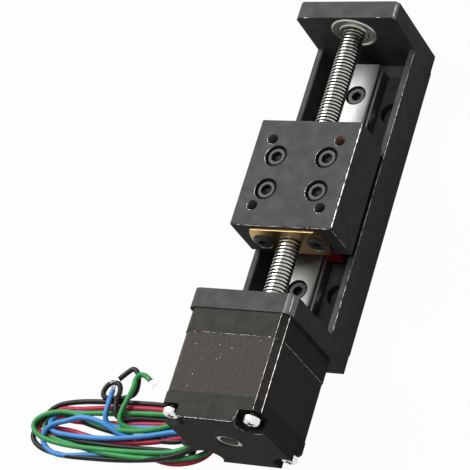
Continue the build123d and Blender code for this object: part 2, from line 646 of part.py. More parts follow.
def motor_mount_screws():
    seat = PLATE_INNER_Y - MOUNT_COUNTERBORE_DEPTH
    screw = cap_screw(M25, seat - MOTOR_FACE_Y + MOUNT_SCREW_BITE)
    return [facing_forward(x, seat, z, screw) for x, z in motor_hole_places()]


# Stator: poles with shoes round the bore, a coil on the neck of each
def pole_slots():
    """the spaces between the poles: wide behind the shoes, narrow at the bore"""
    step = 360 / POLE_COUNT
    shoe_back = STATOR_BORE_RADIUS + POLE_SHOE_THICKNESS
    slots = Circle(SLOT_RADIUS) - Circle(shoe_back)
    for number in range(POLE_COUNT // 2):
        slots -= Rot(0, 0, number * step) * Rectangle(2 * SLOT_RADIUS, POLE_NECK_WIDTH)
    gap = 2 * STATOR_BORE_RADIUS * math.sin(math.radians((step - POLE_SHOE_ANGLE) / 2))
    for number in range(POLE_COUNT // 2):
        slots += Rot(0, 0, (number + 0.5) * step) * Rectangle(2 * shoe_back, gap)
    return slots


def motor_stator():
    section = case_outline(STATOR_INSET)
    section -= Pos(0, SCREW_AXIS_Z) * (pole_slots() + Circle(STATOR_BORE_RADIUS))
    body = along_y(section, REAR_SEAM_Y, FRONT_SEAM_Y)
    for x, z in motor_hole_places():
        body -= rod_y(x, z, M25.shank_radius + HOLE_CLEARANCE, REAR_SEAM_Y, FRONT_SEAM_Y)
    return body


def stator_coils():
    half_hole = POLE_NECK_WIDTH / 2 + COIL_GAP
    half_coil = half_hole + COIL_SIDE
    inner = STATOR_BORE_RADIUS + POLE_SHOE_THICKNESS + COIL_GAP
    outer = math.sqrt(SLOT_RADIUS ** 2 - half_coil ** 2) - COIL_GAP
    near, far = REAR_SEAM_Y - COIL_GAP, FRONT_SEAM_Y + COIL_GAP
    coil = block(inner, outer, near - COIL_OVERHANG, far + COIL_OVERHANG, -half_coil, half_coil)
    coil -= block(inner, outer, near, far, -half_hole, half_hole)
    turns = [number * 360 / POLE_COUNT for number in range(POLE_COUNT)]
    return [Pos(0, 0, SCREW_AXIS_Z) * Rot(0, turn, 0) * coil for turn in turns]


# Rotor: two toothed cores half a tooth apart, with the magnet between them
def tooth_outline(turn):
    """the outline of a toothed core; each tooth is flat-topped, with sloping sides"""
    tooth = 360 / ROTOR_TOOTH_COUNT
    tip = STATOR_BORE_RADIUS - ROTOR_AIR_GAP
    root = tip - ROTOR_TOOTH_DEPTH
    points = []
    for number in range(ROTOR_TOOTH_COUNT):
        for radius, share in (
            (tip, -TOOTH_TOP_SHARE),
            (tip, TOOTH_TOP_SHARE),
            (root, TOOTH_ROOT_SHARE),
            (root, 1 - TOOTH_ROOT_SHARE),
        ):
            angle = math.radians((number + share) * tooth + turn)
            points.append((radius * math.cos(angle), SCREW_AXIS_Z + radius * math.sin(angle)))
    return make_face(Polyline(*points, close=True))


def rotor_core(y0, turn):
    y1 = y0 + ROTOR_CORE_LENGTH
    return along_y(tooth_outline(turn), y0, y1) - rod_y(0, SCREW_AXIS_Z, JOURNAL_RADIUS, y0, y1)


def rotor_core_front():
    return rotor_core(ROTOR_MIDDLE_Y + MAGNET_LENGTH / 2, 0)


def rotor_core_rear():
    half_tooth = 180 / ROTOR_TOOTH_COUNT
    return rotor_core(ROTOR_MIDDLE_Y - MAGNET_LENGTH / 2 - ROTOR_CORE_LENGTH, half_tooth)


def rotor_magnet():
    half = MAGNET_LENGTH / 2
    return ring_y(MAGNET_RADIUS, JOURNAL_RADIUS, ROTOR_MIDDLE_Y - half, ROTOR_MIDDLE_Y + half)


# Grommet in the side of the rear cap
def grommet_span():
    return MOTOR_REAR_Y + GROMMET_REAR_INSET, REAR_SEAM_Y


def grommet_heights():
    return GROMMET_HEIGHT - GROMMET_WIDTH / 2, GROMMET_HEIGHT + GROMMET_WIDTH / 2


def lead_grommet():
    side = -MOTOR_WIDTH / 2
    body = block(side - GROMMET_PROUD, side + GROMMET_SINK, *grommet_span(), *grommet_heights())
    return chamfer(body.edges().group_by(Axis.X)[0], GROMMET_CHAMFER)


# Wires: straight runs joined by arcs as large as the runs allow
def corner_radii(points):
    radii = []
    for before, corner, after in zip(points, points[1:], points[2:]):
        run_in = Vector(*corner) - Vector(*before)
        run_out = Vector(*after) - Vector(*corner)
        half_turn = math.radians(run_in.get_angle(run_out)) / 2
        radii.append(ARC_SHARE * min(run_in.length, run_out.length) / math.tan(half_turn))
    return radii


def wire_tube(points):
    radii = corner_radii(points)
    path = FilletPolyline(*points, radius=radii) if radii else Line(*points)
    tube = sweep(Plane(origin=path @ 0, z_dir=path % 0) * Circle(WIRE_RADIUS), path=path)
    share = tube.volume / (math.pi * WIRE_RADIUS ** 2 * path.length)
    print("wire radii", [round(radius, 1) for radius in radii])
    print("wire length", round(path.length, 1), "volume share", round(share, 4))
    return tube


def wire_lead(number):
    """out of the grommet, round a bend and down onto the hank"""
    y = sum(grommet_span()) / 2 + (number - (len(WIRE_COLOURS) - 1) / 2) * WIRE_PITCH
    start = -MOTOR_WIDTH / 2 - GROMMET_PROUD
    return wire_tube([(start - out, y, height) for out, height in LEAD_ROUTE])


def wire_hank():
    """the outer shape of the loose hank: an oval ring lying on the floor"""
    length = HANK_RIGHT - HANK_LEFT
    width = HANK_FAR - HANK_NEAR
    slot_width = HANK_SLOT_FAR - HANK_SLOT_NEAR
    slot_middle_y = (HANK_SLOT_FAR + HANK_SLOT_NEAR) / 2
    outline = Pos((HANK_LEFT + HANK_RIGHT) / 2, (HANK_NEAR + HANK_FAR) / 2) * SlotOverall(length, width)
    outline -= Pos((HANK_SLOT_LEFT + HANK_SLOT_RIGHT) / 2, slot_middle_y) * SlotOverall(
        HANK_SLOT_RIGHT - HANK_SLOT_LEFT, slot_width)
    return extrude(outline, amount=HANK_HEIGHT)


def main():
    os.makedirs("parts", exist_ok=True)
    nodes = {
        "base_channel": [base_channel()],
        "end_plate": [end_plate()],
        "end_plate_screws": end_plate_screws(),
        "motor_plate": [motor_plate()],
        "motor_plate_screws": motor_plate_screws(),
        "guide_rail": [guide_rail()],
        "rail_screws": rail_screws(),
        "guide_block": [guide_block()],
        "ball_rows": ball_rows(),
        "block_end_cap_front": [block_end_cap(1)],
        "block_end_cap_rear": [block_end_cap(-1)],
        "block_seal_front": [block_seal(1)],
        "block_seal_rear": [block_seal(-1)],
        "carriage_table": [carriage_table()],
        "table_screws": table_screws(),
        "lead_nut": [lead_nut()],
        "nut_screws": nut_screws(),
        "lead_screw": [lead_screw()],
        "end_bearing_outer_ring": [end_bearing_outer_ring()],
        "end_bearing_inner_ring": [end_bearing_inner_ring()],
        "end_bearing_cage": [end_bearing_cage()],
        "end_bearing_shields": end_bearing_shields(),
        "motor_front_cap": [motor_front_cap()],
        "motor_stator": [motor_stator()],
        "stator_coils": stator_coils(),
        "motor_rear_cap": [motor_rear_cap()],
        "motor_case_screws": motor_case_screws(),
        "motor_mount_screws": motor_mount_screws(),
        "front_bearing_outer_ring": [motor_bearing_outer(front_bearing_span())],
        "front_bearing_inner_ring": [motor_bearing_inner(front_bearing_span())],
        "rear_bearing_outer_ring": [motor_bearing_outer(rear_bearing_span())],
        "rear_bearing_inner_ring": [motor_bearing_inner(rear_bearing_span())],
        "rotor_core_front": [rotor_core_front()],
        "rotor_core_rear": [rotor_core_rear()],
        "rotor_magnet": [rotor_magnet()],
        "lead_grommet": [lead_grommet()],
        "wire_hank": [wire_hank()],
    }
    for number, colour in enumerate(WIRE_COLOURS):
        nodes[f"wire_lead_{colour}"] = [wire_lead(number)]
    for name, route in FREE_ENDS.items():
        nodes[f"wire_{name}"] = [wire_tube([(x, y, ON_FLOOR) for x, y in route])]
    for name, shapes in nodes.items():
        save(shapes, name)


main()
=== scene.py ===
import bpy
import json
import math
import random
from collections import namedtuple
from mathutils import Matrix, Vector


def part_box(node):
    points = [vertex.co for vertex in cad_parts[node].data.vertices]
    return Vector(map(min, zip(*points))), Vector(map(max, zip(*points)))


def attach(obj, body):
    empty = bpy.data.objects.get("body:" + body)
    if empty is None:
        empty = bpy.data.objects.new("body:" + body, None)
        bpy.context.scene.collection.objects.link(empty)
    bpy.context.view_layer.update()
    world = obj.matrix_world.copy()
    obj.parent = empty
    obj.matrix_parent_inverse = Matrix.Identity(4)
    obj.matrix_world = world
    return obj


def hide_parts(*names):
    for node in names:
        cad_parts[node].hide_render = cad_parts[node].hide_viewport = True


# Linear slide table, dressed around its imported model. The frame is in metres; sizes below are in
# millimetres and pass through MM.
MM = 0.001

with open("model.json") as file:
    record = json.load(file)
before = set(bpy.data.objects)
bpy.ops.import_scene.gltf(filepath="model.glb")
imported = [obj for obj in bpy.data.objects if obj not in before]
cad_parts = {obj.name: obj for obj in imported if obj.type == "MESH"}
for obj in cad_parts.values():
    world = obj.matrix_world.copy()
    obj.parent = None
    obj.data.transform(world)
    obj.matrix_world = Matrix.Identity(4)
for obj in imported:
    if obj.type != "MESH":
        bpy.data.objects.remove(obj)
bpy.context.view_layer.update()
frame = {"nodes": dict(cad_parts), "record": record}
nodes = frame["nodes"]

# Camera: its place in millimetres, its axes, and its focal length in pixels of the square picture
IMAGE_SIDE = 470
CAMERA_PLACE = (283.425, -241.441, 478.795)
CAMERA_RIGHT = (0.86267, 0.27828, -0.42233)
CAMERA_UP = (-0.04649, 0.87513, 0.48165)
FOCAL_PIXELS = 2258.01
SENSOR = 36.0
CLIP_NEAR = 0.01
CLIP_FAR = 20.0

# Lead screw: the height of its axis, its thread and its journals
AXIS_Z = 20.6
SCREW_RADIUS = 3.0
THREAD_PITCH = 1.0
THREAD_DEPTH = 0.55
JOURNAL_RADIUS = 2.5

# Wires: the hank's lanes run along X between its two ends, where they bend back. REST is the height
# of a wire's middle where it lies on the floor, and LAYER what each wire below it adds.
WIRE_RADIUS = 0.74
WIRE_PITCH = 1.45
REST = 0.76
LAYER = 1.3
LANE_LEFT = -62.0
LANE_RIGHT = -27.0
LANE_STATIONS = 4
BEND_STATIONS = 3
BEND_WIDTH = 8.0
GROMMET_FACE_X = -15.3
# A lead's way down from the grommet: how far out, how far along Y, and how high
LEAD_ROUTE = [(0.0, 0.0, 13.4), (2.2, 0.0, 13.4), (3.4, 0.8, 11.0), (3.8, 1.8, 7.0), (5.0, 2.3, 3.4)]
WIRE_COLOURS = ("black", "green", "blue", "red")
WIRE_BEVEL_STEPS = 4
WIRE_CURVE_STEPS = 5


def node_box(name):
    """lowest and highest corner of a node, in millimetres"""
    low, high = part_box(name)
    return low / MM, high / MM


def make_camera():
    right = Vector(CAMERA_RIGHT).normalized()
    up = Vector(CAMERA_UP).normalized()
    back = right.cross(up)
    data = bpy.data.cameras.new("camera")
    camera = bpy.data.objects.new("camera", data)
    bpy.context.scene.collection.objects.link(camera)
    turn = Matrix((right, up, back)).transposed().to_4x4()
    camera.matrix_world = Matrix.Translation(Vector(CAMERA_PLACE) * MM) @ turn
    data.sensor_width = SENSOR
    data.lens = FOCAL_PIXELS * SENSOR / IMAGE_SIDE
    data.clip_start = CLIP_NEAR
    data.clip_end = CLIP_FAR
    bpy.context.scene.camera = camera


make_camera()


# Materials: each is a Principled shader fed by procedural noise
class Paint:
    """a Principled material with short helpers for its node tree"""

    def __init__(self, name, color, metallic=0.0, roughness=0.5, specular=0.5):
        self.material = bpy.data.materials.new(name)
        self.material.use_nodes = True
        self.tree = self.material.node_tree
        self.shader = self.tree.nodes["Principled BSDF"]
        self.shader.inputs["Base Color"].default_value = (*color, 1)
        self.shader.inputs["Metallic"].default_value = metallic
        self.shader.inputs["Roughness"].default_value = roughness
        self.shader.inputs["Specular IOR Level"].default_value = specular
        self.place = self.tree.nodes.new("ShaderNodeTexCoord").outputs["Object"]

    def node(self, kind, **values):
        made = self.tree.nodes.new(kind)
        for key, value in values.items():
            made.inputs[key].default_value = value
        return made

    def link(self, output, target):
        self.tree.links.new(output, target)

    def stretch(self, scale):
        mapping = self.node("ShaderNodeMapping", Scale=scale)
        self.link(self.place, mapping.inputs["Vector"])
        return mapping.outputs["Vector"]

    def noise(self, scale, detail=2.0, stretched=(1, 1, 1)):
        """noise with about so many cells to the metre"""
        made = self.node("ShaderNodeTexNoise", Scale=scale, Detail=detail)
        self.link(self.stretch(stretched), made.inputs["Vector"])
        return made.outputs["Fac"]

    def ramp(self, value, stops):
        made = self.node("ShaderNodeValToRGB")
        self.link(value, made.inputs["Fac"])
        elements = made.color_ramp.elements
        while len(elements) < len(stops):
            elements.new(0.5)
        for element, (where, color) in zip(elements, stops):
            element.position = where
            element.color = (*color, 1)
        return made.outputs["Color"]

    def spread(self, value, low, high):
        made = self.node("ShaderNodeMapRange")
        made.inputs["To Min"].default_value = low
        made.inputs["To Max"].default_value = high
        self.link(value, made.inputs["Value"])
        return made.outputs["Result"]

    def color_from(self, value, stops):
        self.link(self.ramp(value, stops), self.shader.inputs["Base Color"])

    def roughness_from(self, value, low, high):
        self.link(self.spread(value, low, high), self.shader.inputs["Roughness"])

    def bump_from(self, value, distance, strength=1.0):
        bump = self.node("ShaderNodeBump", Distance=distance, Strength=strength)
        self.link(value, bump.inputs["Height"])
        if self.shader.inputs["Normal"].is_linked:
            self.link(self.shader.inputs["Normal"].links[0].from_socket, bump.inputs["Normal"])
        self.link(bump.outputs["Normal"], self.shader.inputs["Normal"])


def tones(color, spread):
    """a colour a little darker and a little lighter than the given one"""
    return tuple(c * (1 - spread) for c in color), tuple(min(1, c * (1 + spread)) for c in color)


def anodised(name, color, grain=6000, rough=(0.42, 0.58), sheen=0.02):
    """blasted and coated metal: slightly cloudy, with a fine grain"""
    paint = Paint(name, color, roughness=0.5, specular=sheen)
    dark, light = tones(color, spread=0.16)
    clouds = paint.noise(scale=260, detail=4)
    paint.color_from(clouds, [(0.35, dark), (0.65, light)])
    smudges = paint.noise(scale=900, detail=3)
    paint.roughness_from(smudges, *rough)
    pits = paint.noise(scale=grain)
    paint.bump_from(pits, distance=0.00002, strength=0.35)
    swells = paint.noise(scale=500, detail=3)
    paint.bump_from(swells, distance=0.00003, strength=0.12)
    return paint.material


def machined_metal(name, color, rough, stretched=(1, 1, 1)):
    """bare metal with a fine grain, which may be drawn out along one direction"""
    paint = Paint(name, color, metallic=1.0, roughness=0.28)
    lines = paint.noise(scale=5000, detail=3, stretched=stretched)
    dark, light = tones(color, spread=0.1)
    paint.color_from(lines, [(0.3, dark), (0.7, light)])
    smudges = paint.noise(scale=700, detail=3)
    paint.roughness_from(smudges, *rough)
    paint.bump_from(lines, distance=0.00001, strength=0.3)
    return paint.material


def laminated(name, color):
    """the edges of stacked sheets, sealed and dull, with a few bright nicks"""
    paint = Paint(name, color, roughness=0.55, specular=0.015)
    stack = paint.noise(scale=2600, stretched=(0.5, 1, 0.5))
    grain = paint.noise(scale=2400, detail=3)
    dark, light = tones(color, spread=0.28)
    nicked = (0.4, 0.38, 0.35)
    mix = paint.node("ShaderNodeMath")
    mix.operation = "MULTIPLY"
    paint.link(stack, mix.inputs[0])
    paint.link(grain, mix.inputs[1])
    paint.color_from(mix.outputs["Value"], [(0.12, dark), (0.42, light), (0.6, nicked)])
    paint.roughness_from(grain, low=0.42, high=0.62)
    paint.bump_from(stack, distance=0.00006, strength=0.45)
    paint.bump_from(grain, distance=0.00003, strength=0.4)
    return paint.material


def insulation(name, color):
    """soft wire insulation: even in colour, with a faint waxy sheen"""
    paint = Paint(name, color, roughness=0.34, specular=0.15)
    dark, light = tones(color, spread=0.14)
    clouds = paint.noise(scale=180, detail=3)
    paint.color_from(clouds, [(0.3, dark), (0.7, light)])
    smudges = paint.noise(scale=1200)
    paint.roughness_from(smudges, low=0.28, high=0.42)
    ripples = paint.noise(scale=2200)
    paint.bump_from(ripples, distance=0.00002, strength=0.2)
    paint.shader.inputs["Subsurface Weight"].default_value = 0.06
    paint.shader.inputs["Subsurface Radius"].default_value = (0.0004, 0.0004, 0.0004)
    return paint.material


def moulded(name, color, rough=(0.45, 0.6)):
    """moulded plastic or rubber"""
    paint = Paint(name, color, roughness=0.5, specular=0.45)
    dark, light = tones(color, spread=0.12)
    clouds = paint.noise(scale=400, detail=3)
    paint.color_from(clouds, [(0.3, dark), (0.7, light)])
    smudges = paint.noise(scale=1500)
    paint.roughness_from(smudges, *rough)
    pits = paint.noise(scale=4000)
    paint.bump_from(pits, distance=0.00002, strength=0.3)
    return paint.material


MATERIALS = {
    "black_anodised": anodised("black_anodised", (0.08, 0.079, 0.078)),
    "motor_cap": anodised("motor_cap", (0.05, 0.05, 0.044), grain=4500, rough=(0.4, 0.52), sheen=0.01),
    "laminations": laminated("laminations", (0.075, 0.067, 0.06)),
    "black_screw": anodised("black_screw", (0.05, 0.05, 0.05), grain=5000, rough=(0.32, 0.45), sheen=0.16),
    "rail_steel": machined_metal("rail_steel", (0.19, 0.19, 0.185), (0.36, 0.5), stretched=(1, 0.03, 1)),
    "screw_steel": machined_metal("screw_steel", (0.5, 0.49, 0.46), (0.16, 0.28)),
    # a dark steel that is painted shade, for thread valleys, the lead screw's near end and hollows of
    # screw heads
    "painted_shade_steel": machined_metal("painted_shade_steel", (0.045, 0.042, 0.038), (0.35, 0.5)),
    "bearing_steel": machined_metal("bearing_steel", (0.5, 0.5, 0.45), (0.3, 0.42)),
    "zinc_screw": machined_metal("zinc_screw", (0.78, 0.78, 0.77), (0.2, 0.32)),
    "nut_brass": machined_metal("nut_brass", (0.42, 0.28, 0.12), (0.24, 0.38)),
    "copper": machined_metal("copper", (0.72, 0.36, 0.2), (0.3, 0.4)),
    "magnet": machined_metal("magnet", (0.3, 0.3, 0.31), (0.35, 0.5)),
    # tapped hole threads: near-black painted shade, and an insert's brown darkened as painted shade
    "hole_painted_shade": anodised("hole_painted_shade", (0.012, 0.012, 0.012), grain=4000, rough=(0.3, 0.45), sheen=0.3),
    "insert_brown_in_shade": anodised("insert_brown_in_shade", (0.16, 0.065, 0.025), grain=4000, rough=(0.35, 0.5),
                             sheen=0.3),
    # bright metal for worn edges, and for painted highlights on rims
    "wear_and_highlight_metal": machined_metal("wear_and_highlight_metal", (0.7, 0.7, 0.69), (0.3, 0.45)),
    # grey metal strips along the plates' rounded corners: painted highlight
    "painted_sheen_strip": machined_metal("painted_sheen_strip", (0.2, 0.2, 0.22), (0.4, 0.55)),
    # lighter, shinier anodised metal on rounded corner faces: painted highlight
    "corner_sheen": anodised("corner_sheen", (0.09, 0.09, 0.1), grain=6000, rough=(0.3, 0.42), sheen=1.0),
    "strand": machined_metal("strand", (0.8, 0.79, 0.77), (0.22, 0.34)),
    "end_cap_plastic": moulded("end_cap_plastic", (0.03, 0.03, 0.03)),
    "red_seal": moulded("red_seal", (0.62, 0.012, 0.02), (0.35, 0.5)),
    "grommet_black": moulded("grommet_black", (0.02, 0.02, 0.02), (0.5, 0.65)),
    "wire_black": insulation("wire_black", (0.012, 0.0115, 0.012)),
    "wire_green": insulation("wire_green", (0.045, 0.29, 0.085)),
    "wire_blue": insulation("wire_blue", (0.07, 0.27, 0.62)),
    "wire_red": insulation("wire_red", (0.42, 0.025, 0.06)),
}


def dress_nodes():
    """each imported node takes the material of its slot"""
    for part in frame["record"]["subparts"]:
        node = nodes[part["node"]]
        node.data.materials.clear()
        node.data.materials.append(MATERIALS[part["material_slot"]])


# A rounded corner's faces lean at least this much both ways
CORNER_LEAN = 0.15


def corner_faces(node):
    """the rounded corner at a plate's upper right takes a lighter, shinier material than its flat faces,
    as a painted highlight
    """
    mesh = nodes[node].data
    mesh.materials.append(MATERIALS["corner_sheen"])
    for face in mesh.polygons:
        if min(face.normal.x, face.normal.z) > CORNER_LEAN:
            face.material_index = 1


dress_nodes()
corner_faces("motor_plate")
corner_faces("end_plate")


def make_piece(name, mesh_or_curve, slot, body, smooth=False):
    """an object on a body, with a material that is a slot of the record or only the scene's"""
    piece = bpy.data.objects.new(name, mesh_or_curve)
    bpy.context.scene.collection.objects.link(piece)
    mesh_or_curve.materials.append(MATERIALS[slot])
    if smooth:
        mesh_or_curve.shade_smooth()
    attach(piece, body)
    return piece


def build_mesh(name, points, faces):
    mesh = bpy.data.meshes.new(name)
    mesh.from_pydata([Vector(point) * MM for point in points], [], faces)
    mesh.validate()
    mesh.update()
    return mesh


def bridge(rings):
    """points and faces of a skin through rings that have as many points each"""
    count = len(rings[0])
    points = [point for ring in rings for point in ring]
    faces = []
    for level in range(len(rings) - 1):
        for number in range(count):
            following = (number + 1) % count
            start = level * count
            faces.append((start + number, start + following,
                          start + count + following, start + count + number))
    return points, faces


def join_skins(skins):
    points, faces = [], []
    for some_points, some_faces in skins:
        shift = len(points)
        points += some_points
        faces += [tuple(index + shift for index in face) for face in some_faces]
    return points, faces


# Wires: the hank's turns
Lane = namedtuple("Lane", "left middle right reach")


def layer(number):
    """the height of a wire with so many others below it"""
    return REST + number * LAYER


def between(lane, share):
    """the lane's place and height at a share of the way, on a parabola through its three points"""
    values = []
    for left, middle, right in zip(lane.left, lane.middle, lane.right):
        values.append(2 * (share - 0.5) * (share - 1) * left - 4 * share * (share - 1) * middle
                      + 2 * share * (share - 0.5) * right)
    return values[0], max(values[1], REST)


def lane_points(lane, leftwards):
    """points along one side of the hank"""
    made = []
    for number in range(LANE_STATIONS + 1):
        share = number / LANE_STATIONS
        place = 1 - share if leftwards else share
        y, z = between(lane, place)
        made.append((LANE_LEFT + place * (LANE_RIGHT - LANE_LEFT), y, z))
    return made


def bend_points(start, end, reach):
    """points round one end of the hank; a bend between close lanes swells to its own width"""
    gap = end[1] - start[1]
    bulge = math.copysign(max(0.0, BEND_WIDTH - abs(gap)) / 2, gap)
    made = []
    for number in range(1, BEND_STATIONS + 1):
        angle = math.pi * number / (BEND_STATIONS + 1)
        share = (1 - math.cos(angle)) / 2
        made.append((start[0] + (reach - start[0]) * math.sin(angle),
                     start[1] + gap * share - bulge * math.sin(2 * angle),
                     start[2] + (end[2] - start[2]) * share))
    return made


def hank_points(lanes):
    """all the turns of one wire; the first lane runs to the left"""
    made = []
    for number, lane in enumerate(lanes):
        points = lane_points(lane, number % 2 == 0)
        if number:
            made += bend_points(made[-1], points[0], lanes[number - 1].reach)
        made += points
    return made


def lead_points(colour):
    low, high = node_box("lead_grommet")
    number = WIRE_COLOURS.index(colour)
    y = (low.y + high.y) / 2 + (number - (len(WIRE_COLOURS) - 1) / 2) * WIRE_PITCH
    return [(GROMMET_FACE_X - out, y + shift, height) for out, shift, height in LEAD_ROUTE]


def free_wire(colour, points, cad_nodes):
    """one wire as a smooth curve with its route's points as control points"""
    curve = bpy.data.curves.new(f"wire_{colour}_cord", "CURVE")
    curve.dimensions = "3D"
    curve.bevel_depth = WIRE_RADIUS * MM
    curve.bevel_resolution = WIRE_BEVEL_STEPS
    curve.resolution_u = WIRE_CURVE_STEPS
    curve.use_fill_caps = True
    spline = curve.splines.new("NURBS")
    spline.points.add(len(points) - 1)
    for control, point in zip(spline.points, points):
        control.co = (*(Vector(point) * MM), 1)
    spline.order_u = 3
    spline.use_endpoint_u = True
    wire = make_piece(f"wire_{colour}_cord", curve, f"wire_{colour}", "base")
    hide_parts(*cad_nodes)


# Lanes of each wire: (y, z) at the left end, the middle and the right end, and the x that the bend
# after it reaches
HANK_LANES = {
    "black": [
        Lane((-64.9, layer(0)), (-64.4, layer(0)), (-63.3, layer(2)), -74.2),
        Lane((-53.8, layer(0)), (-57.1, layer(0)), (-57.6, layer(0)), -21.4),
        Lane((-60.2, layer(0)), (-61.0, layer(1)), (-60.0, layer(0)), -71.8),
        Lane((-48.7, layer(0)), (-47.6, layer(0)), (-47.4, layer(0)), -22.8),
    ],
    "green": [
        Lane((-62.2, layer(1)), (-62.3, layer(1)), (-61.2, layer(1)), -73.9),
        Lane((-52.4, layer(1.5)), (-56.6, layer(1)), (-52.2, layer(1)), -15.0),
        Lane((-61.0, layer(0)), (-63.5, layer(0.8)), (-63.0, layer(1)), -71.2),
        Lane((-52.4, layer(0)), (-51.1, layer(0.8)), (-50.2, layer(0.8)), -15.6),
    ],
    "blue": [
        Lane((-59.3, layer(1)), (-58.7, layer(1)), (-54.6, layer(1)), -69.0),
        Lane((-52.2, layer(0)), (-51.0, layer(0)), (-50.6, layer(0)), -14.9),
        Lane((-65.1, layer(0)), (-62.8, layer(0)), (-62.7, layer(0)), -69.6),
    ],
    "red": [
        Lane((-57.3, layer(0)), (-59.4, layer(0)), (-56.3, layer(0)), -69.2),
        Lane((-51.2, layer(0)), (-49.4, layer(0.6)), (-49.2, layer(0.6)), -14.9),
        Lane((-58.8, layer(0)), (-60.8, layer(0)), (-64.1, layer(0)), -73.4),
        Lane((-54.8, layer(0)), (-53.8, layer(0)), (-52.4, layer(0)), -20.0),
    ],
}

# Each wire's last stretch, from its lanes to its bare end
BLACK_END = [
    (-27.0, -52.0, REST), (-34.9, -51.6, REST), (-42.0, -52.2, 1.2), (-46.4, -53.6, 2.6),
    (-47.9, -51.6, 3.6), (-48.6, -47.8, 3.4), (-49.7, -44.7, 1.3), (-51.2, -42.2, REST),
    (-54.0, -42.1, REST), (-55.6, -44.6, REST), (-54.9, -46.9, 0.8), (-51.6, -47.4, 2.2),
    (-47.6, -47.2, 2.0), (-45.0, -45.2, 0.9), (-45.3, -41.6, REST), (-46.3, -38.8, REST),
    (-48.3, -37.4, REST), (-50.0, -39.0, REST), (-51.8, -41.1, REST),
]
GREEN_END = [
    (-27.0, -55.0, REST), (-34.0, -55.2, REST), (-40.5, -55.4, 1.0), (-45.0, -55.2, 2.2),
    (-46.2, -53.2, 3.6), (-44.8, -47.2, 3.9), (-45.2, -43.6, 2.4), (-46.2, -40.4, 1.6),
    (-44.5, -38.6, 0.8), (-41.9, -40.6, REST),
]
BLUE_END = [
    (-61.9, -55.6, 3.2), (-57.9, -54.1, 3.6), (-52.3, -54.7, 3.5), (-48.5, -56.0, 3.1),
    (-45.4, -57.3, 1.6), (-42.0, -57.6, 0.8), (-34.0, -56.2, REST), (-27.0, -55.4, REST),
    (-21.5, -56.2, REST), (-17.6, -56.4, REST), (-16.6, -54.4, REST), (-17.6, -52.4, REST),
    (-21.5, -52.6, REST), (-27.0, -53.2, REST), (-34.0, -54.0, REST), (-42.0, -54.6, REST),
    (-48.6, -55.6, 1.6), (-50.5, -54.2, 3.5), (-50.2, -50.6, 4.1), (-51.0, -48.0, 3.2),
    (-52.6, -44.6, REST),
]
RED_END = [
    (-21.0, -53.5, 0.8), (-17.6, -53.0, 0.9), (-16.4, -50.9, 1.3), (-17.6, -48.8, 1.9),
    (-21.5, -48.3, 2.7), (-26.0, -48.4, 3.3), (-29.2, -48.8, 3.3), (-30.6, -50.9, 3.3),
    (-29.2, -53.0, 3.0), (-24.0, -53.3, 2.2), (-19.2, -53.2, 2.2), (-17.2, -51.0, 2.6),
    (-18.6, -48.8, 3.2), (-22.0, -47.9, 3.4), (-26.4, -47.0, 2.6), (-28.4, -44.2, REST),
    (-26.0, -41.8, REST),
]


def hank_to_end(colour):
    """the route of a wire from its grommet to its bare end"""
    lanes = HANK_LANES[colour]
    points = lead_points(colour) + hank_points(lanes)
    if colour == "red":
        return points + RED_END
    after = {"black": BLACK_END, "green": GREEN_END, "blue": BLUE_END}[colour]
    return points + bend_points(points[-1], after[0], lanes[-1].reach) + after


# Bare ends: one strand in the middle and the rest round it, in a fan. The offset is a share of the
# wire's radius, and the shortest strand and the fan are shares of a strand's length.
STRAND_LENGTH = 3.2
SHORTEST_STRAND = 0.6
STRAND_RADIUS = 0.09
STRAND_COUNT = 9
STRAND_SINK = 0.6
STRAND_OFFSET = 0.55
STRAND_FAN = (0.1, 0.55)
FAN_SHARE = 0.6
STRAND_STEPS = 6
STRAND_SIDES = 6
STRAND_SEED = 5
FLOOR_GAP = 0.02


def strand_ring(middle, across, up):
    angles = [2 * math.pi * number / STRAND_SIDES for number in range(STRAND_SIDES)]
    return [middle + across * (STRAND_RADIUS * math.cos(angle)) + up * (STRAND_RADIUS * math.sin(angle))
            for angle in angles]


def closed_tube(rings):
    """a skin through rings, with a face at each end"""
    points, faces = bridge(rings)
    sides = len(rings[0])
    faces.append(tuple(reversed(range(sides))))
    faces.append(tuple(range(len(points) - sides, len(points))))
    return points, faces


def bare_strands(colour, tip, before):
    """the stripped end: thin strands that fan out from the cut insulation"""
    draws = random.Random(WIRE_COLOURS.index(colour) + STRAND_SEED)
    along = (Vector(tip) - Vector(before)).normalized()
    across = along.cross(Vector((0, 0, 1))).normalized()
    up = across.cross(along)
    outer_count = STRAND_COUNT - 1
    skins = []
    for number in range(STRAND_COUNT):
        angle = 2 * math.pi * number / outer_count
        offset = WIRE_RADIUS * STRAND_OFFSET if number < outer_count else 0.0
        side = across * math.cos(angle) + up * math.sin(angle)
        fan = draws.uniform(*STRAND_FAN)
        reach = STRAND_LENGTH * draws.uniform(SHORTEST_STRAND, 1.0)
        start = Vector(tip) - along * STRAND_SINK + side * offset
        rings = []
        for step in range(STRAND_STEPS + 1):
            share = step / STRAND_STEPS
            middle = start + along * reach * share + side * fan * share ** 2 * reach * FAN_SHARE
            middle.z = max(middle.z, STRAND_RADIUS + FLOOR_GAP)
            rings.append(strand_ring(middle, across, up))
        skins.append(closed_tube(rings))
    mesh = build_mesh(f"strands_{colour}", *join_skins(skins))
    return make_piece(f"strands_{colour}", mesh, "strand", "base", smooth=True)


CAD_WIRES = {
    "black": ("wire_lead_black", "wire_loop_black", "wire_end_black", "wire_hank"),
    "green": ("wire_lead_green", "wire_end_green", "wire_hank"),
    "blue": ("wire_lead_blue", "wire_end_blue", "wire_hank"),
    "red": ("wire_lead_red", "wire_end_red", "wire_hank"),
}

for colour in WIRE_COLOURS:
    route = hank_to_end(colour)
    strands = bare_strands(colour, route[-1], route[-2])
    free_wire(colour, route, CAD_WIRES[colour])
